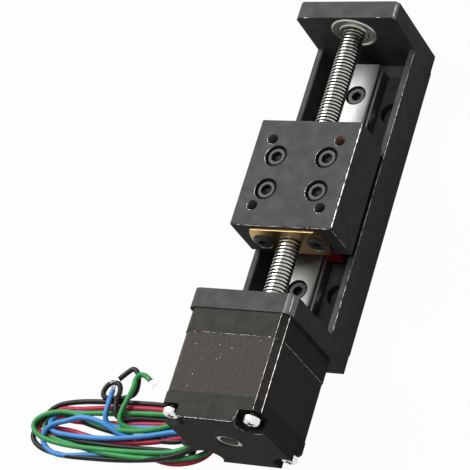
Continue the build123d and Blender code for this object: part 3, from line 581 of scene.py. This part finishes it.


# Lead screw: a rolled thread on its own helix, with the plain shaft behind it. The profile gives the
# share of a pitch and the share of the depth. Its flanks and root take a dark steel as painted shade,
# and so does the shaft's face at the motor's end, which has a centre mark as the far end has.
THREAD_STEPS = 36
THREAD_PROFILE = ((0.0, 0.0), (0.2, 0.0), (0.36, 1.0), (0.7, 1.0), (0.84, 0.0))
SHADED_THREAD_FACES = (1, 2, 3)
SHADED_END_RINGS = 3
THREAD_START = 0.5
THREAD_STOP = 0.6
REVOLVE_STEPS = 64
POINT_RADIUS = 0.01
SHOULDER_STEP = 0.02
NEAR_FACE_INSET = 0.4
NEAR_CHAMFER = 0.4
NEAR_DISH = 0.2
NEAR_MARK_RADIUS = 1.0
NEAR_MARK_DEPTH = 1.0
FAR_CHAMFER = 0.3
FAR_MARK_RADIUS = 0.6
FAR_MARK_DEPTH = 0.5


def on_axis(radius, angle, y):
    return (radius * math.sin(angle), y, AXIS_Z + radius * math.cos(angle))


def revolve(profile, steps=REVOLVE_STEPS):
    """a skin of rings about the screw's axis through (radius, y) pairs"""
    rings = [[on_axis(radius, 2 * math.pi * k / steps, y) for k in range(steps)] for radius, y in profile]
    return bridge(rings)


def thread_skin(y0, y1):
    """a helical ridge: profile points repeated along the helix and stitched to the next turn"""
    turns = int((y1 - y0) / THREAD_PITCH) - 1
    columns = turns * THREAD_STEPS + 1
    width = len(THREAD_PROFILE)
    points = []
    for column in range(columns + THREAD_STEPS):
        angle = 2 * math.pi * column / THREAD_STEPS
        base = y0 + THREAD_PITCH * column / THREAD_STEPS
        for share, sunk in THREAD_PROFILE:
            radius = SCREW_RADIUS - THREAD_DEPTH * sunk
            points.append(on_axis(radius, angle, base + share * THREAD_PITCH))
    faces = []
    for column in range(columns - 1):
        for number in range(width):
            here = column * width + number
            there = here + 1 if number < width - 1 else (column + THREAD_STEPS) * width
            faces.append((here, there, there + width, here + width))
    return points, faces


def shaft_skin(low, high, shoulder):
    """the journal from the motor's end to the shoulder, then the thread's root to the far end"""
    root = SCREW_RADIUS - THREAD_DEPTH
    face = low + NEAR_FACE_INSET
    return revolve([
        (POINT_RADIUS, face + NEAR_DISH + NEAR_MARK_DEPTH), (NEAR_MARK_RADIUS, face + NEAR_DISH),
        (JOURNAL_RADIUS - NEAR_CHAMFER, face), (JOURNAL_RADIUS, face + NEAR_CHAMFER),
        (JOURNAL_RADIUS, shoulder), (root, shoulder + SHOULDER_STEP),
        (root, high - THREAD_STOP), (root, high - FAR_CHAMFER), (root - FAR_CHAMFER, high),
        (FAR_MARK_RADIUS, high), (POINT_RADIUS, high - FAR_MARK_DEPTH),
    ])


def screw_piece():
    low, high = node_box("lead_screw")
    shoulder = node_box("front_bearing_inner_ring")[1].y
    shaft = shaft_skin(low.y, high.y, shoulder)
    thread = thread_skin(shoulder + THREAD_START, high.y - THREAD_STOP)
    mesh = build_mesh("threaded_screw", *join_skins([shaft, thread]))
    piece = make_piece("threaded_screw", mesh, "screw_steel", "screw")
    # second material: painted shade, a dark steel on the thread's flanks and root and on the near end face
    mesh.materials.append(MATERIALS["painted_shade_steel"])
    first = len(shaft[1])
    for number, face in enumerate(mesh.polygons):
        in_end = number < SHADED_END_RINGS * REVOLVE_STEPS
        in_thread = number >= first and (number - first) % len(THREAD_PROFILE) in SHADED_THREAD_FACES
        if in_end or in_thread:
            face.material_index = 1
    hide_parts("lead_screw")


screw_piece()


# Bearing in the end plate: its two rings with cut corners
RING_STEPS = 96
OUTER_RING_CORNER = 0.3
INNER_RING_CORNER = 0.25


def bearing_piece(name, profile, cad_node, body):
    mesh = build_mesh(name, *revolve(profile, RING_STEPS))
    piece = make_piece(name, mesh, "bearing_steel", body)
    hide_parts(cad_node)


def closed_profile(inner, outer, y0, y1, corner):
    """a ring's section with its four corners cut, as (radius, y) pairs"""
    return [(inner, y0 + corner), (inner + corner, y0), (outer - corner, y0), (outer, y0 + corner),
            (outer, y1 - corner), (outer - corner, y1), (inner + corner, y1), (inner, y1 - corner),
            (inner, y0 + corner)]


def end_bearing():
    low, high = node_box("end_bearing_outer_ring")
    near, far = low.y, high.y
    race_out = node_box("end_bearing_shields")[1].x
    race_in = node_box("end_bearing_inner_ring")[1].x
    bearing_piece("end_bearing_outer", closed_profile(race_out, high.x, near, far, OUTER_RING_CORNER),
                  "end_bearing_outer_ring", "base")
    bearing_piece("end_bearing_inner", closed_profile(SCREW_RADIUS, race_in, near, far, INNER_RING_CORNER),
                  "end_bearing_inner_ring", "screw")


end_bearing()


# Screw heads: rings from the seat upwards, then down into the socket or the recess. A share is of the
# head's radius or its disc, of the socket's size or half size, or of the recess's arm. DOME_TURN is in
# radians and the rest in millimetres.
HEAD_STEPS = 72
TIP_RADIUS = 0.02
SEAT_SHARE = 0.55
SEAT_CORNER = 0.05
SIDE_START = 0.08
KNURL = 0.06
CROWN_SHARE = 0.14
SOCKET_RIM_SHARE = 1.16
SOCKET_MOUTH_SHARE = 1.1
SOCKET_MOUTH_DEPTH = 0.02
SOCKET_LIP_DEPTH = 0.15
SOCKET_DEPTH_SHARE = 0.62
SOCKET_TIP_SHARE = 0.78
PAN_DISC = 1.6
PAN_NECK_SHARE = 0.6
PAN_NECK_GAP = 0.2
PAN_SIDE_SHARE = 0.6
DOME_STEPS = 6
DOME_TURN = 1.57
CROSS_SHARE = 0.56
CROSS_WIDTH_SHARE = 0.24
LEAST_SINE = 0.01
CROSS_MOUTH_SHARE = 1.02
CROSS_LIP_DEPTH = 0.08
CROSS_FLOOR_SHARE = 0.55
CROSS_FLOOR_DEPTH = 0.7
CROSS_TIP_DEPTH = 0.9


def head_ring(radius, height, knurl=0.0, shape=None):
    """a ring round the head's axis, with every second point drawn in by the knurl"""
    ring = []
    for number in range(HEAD_STEPS):
        angle = 2 * math.pi * number / HEAD_STEPS
        reach = radius * (shape(angle) if shape else 1) - (knurl if number % 2 else 0)
        ring.append(Vector((reach * math.cos(angle), reach * math.sin(angle), height)))
    return ring


def hexagon(angle):
    """how far a hexagon's outline is from its middle, where its flats are 1 away"""
    return 1 / math.cos((angle + math.pi / 6) % (math.pi / 3) - math.pi / 6)


def cross(angle):
    """how far the outline of a cross is from its middle, with arms 1 long"""
    off_arm = abs((angle + math.pi / 4) % (math.pi / 2) - math.pi / 4)
    return min(1, CROSS_WIDTH_SHARE / max(math.sin(off_arm), LEAST_SINE))


def cap_head(head):
    """a socket head's skin, from its seat up, in and down into the socket"""
    radius, height, socket = head
    crown = radius * CROWN_SHARE
    flat = socket / 2
    return bridge([
        head_ring(radius * SEAT_SHARE, 0),
        head_ring(radius - SEAT_CORNER, 0),
        head_ring(radius, SIDE_START, KNURL),
        head_ring(radius, height - crown, KNURL),
        head_ring(radius - crown, height),
        head_ring(flat * SOCKET_RIM_SHARE, height),
        head_ring(flat * SOCKET_MOUTH_SHARE, height - SOCKET_MOUTH_DEPTH, shape=hexagon),
        head_ring(flat, height - SOCKET_LIP_DEPTH, shape=hexagon),
        head_ring(flat, height - socket * SOCKET_DEPTH_SHARE, shape=hexagon),
        head_ring(TIP_RADIUS, height - socket * SOCKET_TIP_SHARE),
    ])


def pan_head(radius, height):
    """a domed head's skin, from its neck up, over the dome and down into a cross recess"""
    foot = height - PAN_DISC
    neck = radius * PAN_NECK_SHARE
    rings = [head_ring(neck, 0), head_ring(neck, foot - PAN_NECK_GAP), head_ring(radius, foot),
             head_ring(radius, foot + PAN_DISC * PAN_SIDE_SHARE)]
    for number in range(1, DOME_STEPS):
        share = number / DOME_STEPS
        rise = PAN_SIDE_SHARE + (1 - PAN_SIDE_SHARE) * math.sin(share * DOME_TURN)
        rings.append(head_ring(radius * math.cos(share), foot + PAN_DISC * rise))
    arm = radius * CROSS_SHARE
    rings += [
        head_ring(arm * CROSS_MOUTH_SHARE, height, shape=cross),
        head_ring(arm, height - CROSS_LIP_DEPTH, shape=cross),
        head_ring(arm * CROSS_FLOOR_SHARE, height - CROSS_FLOOR_DEPTH, shape=cross),
        head_ring(TIP_RADIUS, height - CROSS_TIP_DEPTH),
    ]
    return bridge(rings)


def place_skins(skin, places, towards):
    """copies of a skin with its own Z turned to a direction, at each place"""
    turn = Vector((0, 0, 1)).rotation_difference(Vector(towards)).to_matrix()
    points, faces = skin
    return [([turn @ Vector(point) + Vector(place) for point in points], faces) for place in places]


def screw_heads(name, cad_node, skin, places, towards, slot, body, shaded_first=0, shaded_last=0):
    """one mesh of equal heads, each with so many rings of faces at its start and its end in dark steel as
    painted shade
    """
    mesh = build_mesh(name, *join_skins(place_skins(skin, places, towards)))
    piece = make_piece(name, mesh, slot, body)
    mesh.materials.append(MATERIALS["painted_shade_steel"])
    count = len(skin[1])
    # rings at a head's start and end take the dark steel: painted shade
    for number, face in enumerate(mesh.polygons):
        place = number % count
        if place < shaded_first * HEAD_STEPS or place >= count - shaded_last * HEAD_STEPS:
            face.material_index = 1
    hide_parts(cad_node)


# Screws in their places. A Head is a socket head's radius, height and socket across flats; offsets are
# half the distance between two screws. The near end is the motor's.
Head = namedtuple("Head", "radius height socket")
UP = (0, 0, 1)
TO_NEAR = (0, -1, 0)
TO_FAR = (0, 1, 0)
TABLE_HEAD = Head(2.65, 3.0, 2.8)
TABLE_SCREW_X = 7.5
TABLE_SCREW_Y = 5.0
NUT_HEAD = Head(2.75, 1.8, 2.0)
NUT_SCREW_X = 8.0
RAIL_HEAD = Head(2.75, 3.0, 2.5)
RAIL_HOLE_PITCH = 20.0
MOUNT_HEAD = Head(2.25, 2.5, 2.0)
MOTOR_HOLE_OFFSET = 11.5
CASE_HEAD_RADIUS = 2.15
CASE_HEAD_HEIGHT = 2.7
CASE_POCKET_DEPTH = 3.5
# rings of painted shade on the case screws' necks and in their cross recesses
CASE_SHADED_NECK_RINGS = 2
CASE_SHADED_RECESS_RINGS = 3
LOW_HEAD_DROP = 1.5


def corners(first, second):
    """the four pairs of plus or minus two distances"""
    return [(a, b) for a in (-first, first) for b in (-second, second)]


def middle_y(name):
    low, high = node_box(name)
    return (low.y + high.y) / 2


def table_screws():
    middle = middle_y("carriage_table")
    seat = node_box("table_screws")[1].z - TABLE_HEAD.height
    places = [(x, middle + y, seat) for x, y in corners(TABLE_SCREW_X, TABLE_SCREW_Y)]
    screw_heads("table_screw_heads", "table_screws", cap_head(TABLE_HEAD), places, UP,
                "black_screw", "carriage")


def nut_screws():
    seat = node_box("nut_screws")[0].y + NUT_HEAD.height
    places = [(x, seat, AXIS_Z) for x in (-NUT_SCREW_X, NUT_SCREW_X)]
    screw_heads("nut_screw_heads", "nut_screws", cap_head(NUT_HEAD), places, TO_NEAR,
                "black_screw", "carriage")


def rail_screws():
    low, high = node_box("rail_screws")
    count = round((high.y - low.y) / RAIL_HOLE_PITCH) + 1
    first = low.y + RAIL_HEAD.radius
    seat = high.z - RAIL_HEAD.height
    places = [(0, first + RAIL_HOLE_PITCH * number, seat) for number in range(count)]
    screw_heads("rail_screw_heads", "rail_screws", cap_head(RAIL_HEAD), places, UP,
                "black_screw", "base")


def mount_screws():
    seat = node_box("motor_mount_screws")[1].y - MOUNT_HEAD.height
    places = [(x, seat, AXIS_Z + z) for x, z in corners(MOTOR_HOLE_OFFSET, MOTOR_HOLE_OFFSET)]
    screw_heads("mount_screw_heads", "motor_mount_screws", cap_head(MOUNT_HEAD), places, TO_FAR,
                "black_screw", "base")


def case_screws():
    """the motor's case screws; the lower left one lies deeper than the rest"""
    seat = node_box("motor_rear_cap")[0].y + CASE_POCKET_DEPTH
    places = []
    for x, z in corners(MOTOR_HOLE_OFFSET, MOTOR_HOLE_OFFSET):
        drop = LOW_HEAD_DROP if x < 0 and z < 0 else 0
        places.append((x, seat + drop, AXIS_Z + z))
    screw_heads("case_screw_heads", "motor_case_screws", pan_head(CASE_HEAD_RADIUS, CASE_HEAD_HEIGHT),
                places, TO_NEAR, "zinc_screw", "base",
                shaded_first=CASE_SHADED_NECK_RINGS, shaded_last=CASE_SHADED_RECESS_RINGS)


table_screws()
nut_screws()
rail_screws()
mount_screws()
case_screws()


# Worn edges and painted highlights: thin, uneven bright lines where the black coating has gone, and
# crescents of painted highlight on rims. A line's look is its width and its evenness, the least share
# of that width that it has between its ends. ARC_STEP is in degrees.
WearAndSheen = namedtuple("WearAndSheen", "width evenness")
WEAR_STEP = 0.7
WEAR_LEAST_STEPS = 3
WEAR_SIDES = 4
WEAR_TIP_SHARE = 0.02
ARC_STEP = 9
ARC_LEAST_STEPS = 6


def sheen_and_wear_tube(path, wear_and_sheen, seed):
    """a four-sided thread of metal along a path, uneven in thickness"""
    draws = random.Random(seed)
    last = len(path) - 1
    rings = []
    for number, place in enumerate(path):
        before, after = path[max(0, number - 1)], path[min(last, number + 1)]
        along = (after - before).normalized()
        side = along.orthogonal().normalized()
        reach = wear_and_sheen.width / 2 * draws.uniform(wear_and_sheen.evenness, 1.0)
        end_share = WEAR_TIP_SHARE if number in (0, last) else 1.0
        turns = [Matrix.Rotation(2 * math.pi / WEAR_SIDES * turn, 3, along) for turn in range(WEAR_SIDES)]
        rings.append([place + turn @ side * reach * end_share for turn in turns])
    return bridge(rings)


def straight(start, end):
    start, end = Vector(start), Vector(end)
    count = max(WEAR_LEAST_STEPS, int((end - start).length / WEAR_STEP))
    return [start.lerp(end, number / count) for number in range(count + 1)]


def along_x(y, z, first, last):
    return straight((first, y, z), (last, y, z))


def along_y(x, z, first, last):
    return straight((x, first, z), (x, last, z))


def along_z(x, y, first, last):
    return straight((x, y, first), (x, y, last))


def arc(center, radius, first, last, up):
    """points round a rim, from one angle in degrees to another; angle 0 is towards +X"""
    count = max(ARC_LEAST_STEPS, int(abs(last - first) / ARC_STEP))
    across = Vector((1, 0, 0))
    points = []
    for number in range(count + 1):
        angle = math.radians(first + (last - first) * number / count)
        points.append(Vector(center) + (across * math.cos(angle) + Vector(up) * math.sin(angle)) * radius)
    return points


def sheen_and_wear_pieces(name, runs, slot, body):
    """one mesh from many runs, each a path with its width and evenness"""
    skins = [sheen_and_wear_tube(path, wear_and_sheen, number + 1) for number, (path, wear_and_sheen) in enumerate(runs)]
    mesh = build_mesh(name, *join_skins(skins))
    make_piece(name, mesh, slot, body, smooth=True)


# Wear on the carriage: the table's edges; and crescents of painted highlight on the rims of its holes
# and of the nut's
TABLE_SIDE_WEAR = WearAndSheen(0.42, 0.15)
TABLE_SIDE_GAP = 0.3
TABLE_FRONT_WEAR = WearAndSheen(0.07, 0.0)
TABLE_FRONT_LEFT_GAP = 2.0
TABLE_FRONT_RIGHT_GAP = 1.0
TABLE_CORNER_WEAR = WearAndSheen(0.1, 0.0)
TABLE_CORNER_TOP_GAP = 0.6
TABLE_CORNER_LOW_GAP = 4.0
COUNTERBORE_HIGHLIGHT = WearAndSheen(0.12, 0.1)
COUNTERBORE_RIM = 3.22
COUNTERBORE_ARC = (120, 235)
TAPPED_OFFSET = 10.0
TAPPED_HIGHLIGHT = WearAndSheen(0.1, 0.1)
TAPPED_RIM = 1.52
TAPPED_ARC = (150, 290)
NUT_SCREW_HIGHLIGHT = WearAndSheen(0.2, 0.2)
NUT_SCREW_RIM = 2.7
NUT_SCREW_ARC = (-130, 10)
TO_PLUS_Y = (0, 1, 0)


def carriage_wear_and_highlights():
    low, high = node_box("carriage_table")
    middle = middle_y("carriage_table")
    top = high.z
    runs = [
        (along_y(high.x, top, low.y + TABLE_SIDE_GAP, high.y - TABLE_SIDE_GAP), TABLE_SIDE_WEAR),
        (along_x(low.y, top, low.x + TABLE_FRONT_LEFT_GAP, high.x - TABLE_FRONT_RIGHT_GAP),
         TABLE_FRONT_WEAR),
        (along_z(high.x, low.y, top - TABLE_CORNER_TOP_GAP, low.z + TABLE_CORNER_LOW_GAP),
         TABLE_CORNER_WEAR),
    ]
    # crescents of painted highlight on the rims of the counterbores, the tapped holes and the nut's screw
    # holes
    for x, y in corners(TABLE_SCREW_X, TABLE_SCREW_Y):
        rim = arc((x, middle + y, top), COUNTERBORE_RIM, *COUNTERBORE_ARC, TO_PLUS_Y)
        runs.append((rim, COUNTERBORE_HIGHLIGHT))
    for x, y in corners(TAPPED_OFFSET, TAPPED_OFFSET):
        rim = arc((x, middle + y, top), TAPPED_RIM, *TAPPED_ARC, TO_PLUS_Y)
        runs.append((rim, TAPPED_HIGHLIGHT))
    face = node_box("nut_screws")[0].y
    for x in (-NUT_SCREW_X, NUT_SCREW_X):
        rim = arc((x, face, AXIS_Z), NUT_SCREW_RIM, *NUT_SCREW_ARC, UP)
        runs.append((rim, NUT_SCREW_HIGHLIGHT))
    sheen_and_wear_pieces("edge_wear_and_highlights_carriage", runs, "wear_and_highlight_metal", "carriage")


# Wear on the base: the channel's top edge and the two ends of the end plate's
CHANNEL_WEAR = WearAndSheen(0.13, 0.0)
CHANNEL_GAP = 1.0
PLATE_LEFT_WEAR = WearAndSheen(0.14, 0.3)
PLATE_LEFT_STRETCH = (2.4, 4.4)
PLATE_RIGHT_WEAR = WearAndSheen(0.12, 0.2)
PLATE_RIGHT_STRETCH = (5.5, 4.0)


def base_wear():
    low, high = node_box("base_channel")
    plate_low, plate_high = node_box("end_plate")
    left = [plate_low.x + inset for inset in PLATE_LEFT_STRETCH]
    right = [plate_high.x - inset for inset in PLATE_RIGHT_STRETCH]
    runs = [
        (along_y(high.x, high.z, low.y + CHANNEL_GAP, high.y - CHANNEL_GAP), CHANNEL_WEAR),
        (along_x(plate_low.y, plate_high.z, *left), PLATE_LEFT_WEAR),
        (along_x(plate_low.y, plate_high.z, *right), PLATE_RIGHT_WEAR),
    ]
    sheen_and_wear_pieces("worn_edges_base", runs, "wear_and_highlight_metal", "base")


# Wear on the motor: its chamfered upper right edge, the seam of its front cap, its rear edge, one screw
# pocket's edge and bright specks on its sheets; painted highlights on the rims of that pocket and of the
# rear hole, and a painted glint inside the rear hole
MOTOR_CHAMFER = 1.6
CHAMFER_LOW_WEAR = WearAndSheen(0.26, 0.25)
CHAMFER_TOP_WEAR = WearAndSheen(0.13, 0.1)
CHAMFER_SEAM_WEAR = WearAndSheen(0.14, 0.4)
CHAMFER_SEAM_START = 1.4 * MOTOR_CHAMFER
CHAMFER_SEAM_END = (0.6, 0.9)
TOP_SEAM_WEAR = WearAndSheen(0.07, 0.0)
TOP_SEAM_GAPS = (2.0, 2.4)
SIDE_SEAM_WEAR = WearAndSheen(0.08, 0.2)
SIDE_SEAM_GAPS = (2.4, 2.0)
REAR_EDGE_WEAR = WearAndSheen(0.1, 0.1)
REAR_EDGE_GAPS = (5.0, 6.2)
POCKET_RIM = 3.92
POCKET_LEFT_HIGHLIGHT = WearAndSheen(0.1, 0.2)
POCKET_LEFT_ARC = (142, 230)
POCKET_LOW_HIGHLIGHT = WearAndSheen(0.18, 0.2)
POCKET_LOW_ARC = (262, 306)
POCKET_EDGE_WEAR = WearAndSheen(0.1, 0.1)
POCKET_EDGE_INSETS = (6.4, 5.4)
EDGE_SINK = 0.2
REAR_HOLE_HIGHLIGHT = WearAndSheen(0.07, 0.4)
REAR_HOLE_RIM = 3.5
REAR_HOLE_ARC = (40, 150)
REAR_PAINTED_GLINT = WearAndSheen(0.2, 0.0)
REAR_GLINT_RIM = 3.4
REAR_GLINT_ARC = (300, 345)
SPECK_COUNT = 9
SPECK_SEED = 11
SPECK_X = (-11, 9)
SPECK_END_GAP = 1.0
SPECK_SLANT = 0.4
SPECK_LENGTH = 0.5
SPECK_WIDTH = (0.1, 0.24)
SPECK_EVENNESS = 0.2


def motor_edges(right, top, back):
    """the chamfer's two edges, the seam over top, chamfer and side, and the rear edge"""
    seam, front = [corner.y for corner in node_box("motor_front_cap")]
    bottom = node_box("motor_rear_cap")[0].z
    pocket = back + CASE_POCKET_DEPTH
    seam_end = (right - CHAMFER_SEAM_END[0], seam, top - CHAMFER_SEAM_END[1])
    return [
        (along_y(right, top - MOTOR_CHAMFER, pocket, front), CHAMFER_LOW_WEAR),
        (along_y(right - MOTOR_CHAMFER, top, pocket, front), CHAMFER_TOP_WEAR),
        (straight((right - CHAMFER_SEAM_START, seam, top), seam_end), CHAMFER_SEAM_WEAR),
        (along_x(seam, top, -right + TOP_SEAM_GAPS[0], right - TOP_SEAM_GAPS[1]), TOP_SEAM_WEAR),
        (along_z(right, seam, top - SIDE_SEAM_GAPS[0], bottom + SIDE_SEAM_GAPS[1]), SIDE_SEAM_WEAR),
        (along_x(back, top, -right + REAR_EDGE_GAPS[0], right - REAR_EDGE_GAPS[1]), REAR_EDGE_WEAR),
    ]


def motor_rims(right, top, back):
    """painted highlights on the upper right screw pocket's rim and on the rear hole's rim, a painted glint
    inside the rear hole, and the pocket's worn edge
    """
    center = (MOTOR_HOLE_OFFSET, back, AXIS_Z + MOTOR_HOLE_OFFSET)
    edge_start = (right - POCKET_EDGE_INSETS[0], back + EDGE_SINK, top)
    edge_end = (right - POCKET_EDGE_INSETS[1], back + CASE_POCKET_DEPTH, top)
    sunk = (0, back + EDGE_SINK, AXIS_Z)
    # the pocket's arcs and the rear hole's rim are painted highlights, the sunk arc a painted glint
    return [
        (arc(center, POCKET_RIM, *POCKET_LEFT_ARC, UP), POCKET_LEFT_HIGHLIGHT),
        (arc(center, POCKET_RIM, *POCKET_LOW_ARC, UP), POCKET_LOW_HIGHLIGHT),
        (straight(edge_start, edge_end), POCKET_EDGE_WEAR),
        (arc((0, back, AXIS_Z), REAR_HOLE_RIM, *REAR_HOLE_ARC, UP), REAR_HOLE_HIGHLIGHT),
        (arc(sunk, REAR_GLINT_RIM, *REAR_GLINT_ARC, UP), REAR_PAINTED_GLINT),
    ]


def stator_specks(top):
    """short bright nicks on the top of the motor's sheets"""
    low, high = node_box("motor_stator")
    draws = random.Random(SPECK_SEED)
    runs = []
    for _ in range(SPECK_COUNT):
        x = draws.uniform(*SPECK_X)
        y = draws.uniform(low.y + SPECK_END_GAP, high.y - SPECK_END_GAP)
        slant = draws.uniform(-SPECK_SLANT, SPECK_SLANT)
        wear_and_sheen = WearAndSheen(draws.uniform(*SPECK_WIDTH), SPECK_EVENNESS)
        runs.append((straight((x, y, top), (x + slant, y + SPECK_LENGTH, top)), wear_and_sheen))
    return runs


def motor_wear_and_highlights():
    low, high = node_box("motor_rear_cap")
    right, top, back = high.x, high.z, low.y
    runs = motor_edges(right, top, back) + motor_rims(right, top, back) + stator_specks(top)
    sheen_and_wear_pieces("edge_wear_and_highlights_motor", runs, "wear_and_highlight_metal", "base")


# Wider, softer painted highlights on the rounded upper right corners of the two plates
MOTOR_PLATE_SHEEN = WearAndSheen(0.5, 0.8)
MOTOR_PLATE_INSET = 0.66
MOTOR_PLATE_GAP = 0.2
END_PLATE_SHEEN = WearAndSheen(0.9, 0.8)
END_PLATE_INSET = 0.5
END_PLATE_GAP = 0.1


def corner_line(plate, inset, gap):
    low, high = node_box(plate)
    return along_y(high.x - inset, high.z - inset, low.y + gap, high.y - gap)


def corner_sheen():
    runs = [
        (corner_line("motor_plate", MOTOR_PLATE_INSET, MOTOR_PLATE_GAP), MOTOR_PLATE_SHEEN),
        (corner_line("end_plate", END_PLATE_INSET, END_PLATE_GAP), END_PLATE_SHEEN),
    ]
    sheen_and_wear_pieces("corner_sheen", runs, "painted_sheen_strip", "base")


# Threads of the table's tapped holes
TAPPED_RADIUS = 1.5
TAPPED_CREST_RADIUS = 1.24
TAPPED_PITCH = 0.5
TAPPED_TURNS = 8


def tapped_threads():
    """ridges in the table's four tapped holes, near black as painted shade; those of the far right one are
    an insert's brown, darkened as painted shade
    """
    high = node_box("carriage_table")[1]
    middle = middle_y("carriage_table")
    half = TAPPED_PITCH / 2
    rings = []
    for turn in range(TAPPED_TURNS):
        z = -half - TAPPED_PITCH * turn
        rings += [head_ring(TAPPED_RADIUS, z), head_ring(TAPPED_CREST_RADIUS, z - half)]
    rings.append(head_ring(TAPPED_RADIUS, -half - TAPPED_PITCH * TAPPED_TURNS))
    skin = bridge(rings)
    for number, (x, y) in enumerate(corners(TAPPED_OFFSET, TAPPED_OFFSET)):
        name = f"tapped_thread_{number}"
        slot = "insert_brown_in_shade" if x > 0 and y > 0 else "hole_painted_shade"
        mesh = build_mesh(name, *join_skins(place_skins(skin, [(x, middle + y, high.z)], UP)))
        make_piece(name, mesh, slot, "carriage")


carriage_wear_and_highlights()
base_wear()
motor_wear_and_highlights()
corner_sheen()
tapped_threads()


# Stage: a white floor and background and soft light, with lengths in metres. Floor and background are
# white where they are seen or mirrored, and light the part only a little.
FLOOR_HALF_SIDE = 3.0
FLOOR_GREY = 0.3
FLOOR_ROUGHNESS = 0.7
FLOOR_GLOW = 1.0
FLOOR_GLOW_SHARE = 0.97
WORLD_GLOW = 1.0
WORLD_LIGHT = 0.08
LAMP_DISTANCE = 0.75
KEY_DIRECTION = (-0.55, 0.3, 0.8)
KEY_SIZE = 0.5
KEY_POWER = 7.0
FILL_DIRECTION = (0.0, -0.15, 1)
FILL_SIZE = 0.3
FILL_POWER = 1.3


def white_floor():
    mesh = bpy.data.meshes.new("floor")
    side = FLOOR_HALF_SIDE
    square = [(-side, -side, 0), (side, -side, 0), (side, side, 0), (-side, side, 0)]
    mesh.from_pydata(square, [], [(0, 1, 2, 3)])
    floor = bpy.data.objects.new("floor", mesh)
    bpy.context.scene.collection.objects.link(floor)
    mesh.materials.append(floor_material())


def floor_material():
    material = bpy.data.materials.new("floor")
    material.use_nodes = True
    tree = material.node_tree
    shader = tree.nodes["Principled BSDF"]
    shader.inputs["Base Color"].default_value = (FLOOR_GREY, FLOOR_GREY, FLOOR_GREY, 1)
    shader.inputs["Roughness"].default_value = FLOOR_ROUGHNESS
    glow = tree.nodes.new("ShaderNodeEmission")
    glow.inputs["Strength"].default_value = FLOOR_GLOW
    mix = tree.nodes.new("ShaderNodeMixShader")
    share = tree.nodes.new("ShaderNodeMath")
    share.operation = "MULTIPLY"
    share.inputs[1].default_value = FLOOR_GLOW_SHARE
    tree.links.new(seen_rays(tree), share.inputs[0])
    tree.links.new(share.outputs["Value"], mix.inputs["Fac"])
    tree.links.new(shader.outputs["BSDF"], mix.inputs[1])
    tree.links.new(glow.outputs["Emission"], mix.inputs[2])
    tree.links.new(mix.outputs["Shader"], tree.nodes["Material Output"].inputs["Surface"])
    return material


def seen_rays(tree):
    """1 for the camera's, glossy and transmitted rays, and 0 for the rest"""
    path = tree.nodes.new("ShaderNodeLightPath")
    total = path.outputs["Is Camera Ray"]
    for name in ("Is Glossy Ray", "Is Transmission Ray"):
        joined = tree.nodes.new("ShaderNodeMath")
        joined.operation = "MAXIMUM"
        tree.links.new(total, joined.inputs[0])
        tree.links.new(path.outputs[name], joined.inputs[1])
        total = joined.outputs["Value"]
    return total


def white_world():
    world = bpy.data.worlds.new("world")
    bpy.context.scene.world = world
    world.use_nodes = True
    tree = world.node_tree
    background = tree.nodes["Background"]
    background.inputs["Color"].default_value = (1, 1, 1, 1)
    strength = tree.nodes.new("ShaderNodeMapRange")
    strength.inputs["To Min"].default_value = WORLD_LIGHT
    strength.inputs["To Max"].default_value = WORLD_GLOW
    tree.links.new(seen_rays(tree), strength.inputs["Value"])
    tree.links.new(strength.outputs["Result"], background.inputs["Strength"])


def soft_light(name, direction, size, power):
    data = bpy.data.lights.new(name, "AREA")
    data.shape = "DISK"
    data.size = size
    data.energy = power
    lamp = bpy.data.objects.new(name, data)
    bpy.context.scene.collection.objects.link(lamp)
    place = Vector(direction).normalized() * LAMP_DISTANCE
    lamp.location = place
    lamp.rotation_mode = "QUATERNION"
    lamp.rotation_quaternion = place.to_track_quat("Z", "Y")


white_floor()
white_world()
soft_light("key", KEY_DIRECTION, KEY_SIZE, KEY_POWER)
soft_light("fill", FILL_DIRECTION, FILL_SIZE, FILL_POWER)

bpy.context.scene.view_settings.view_transform = "Standard"
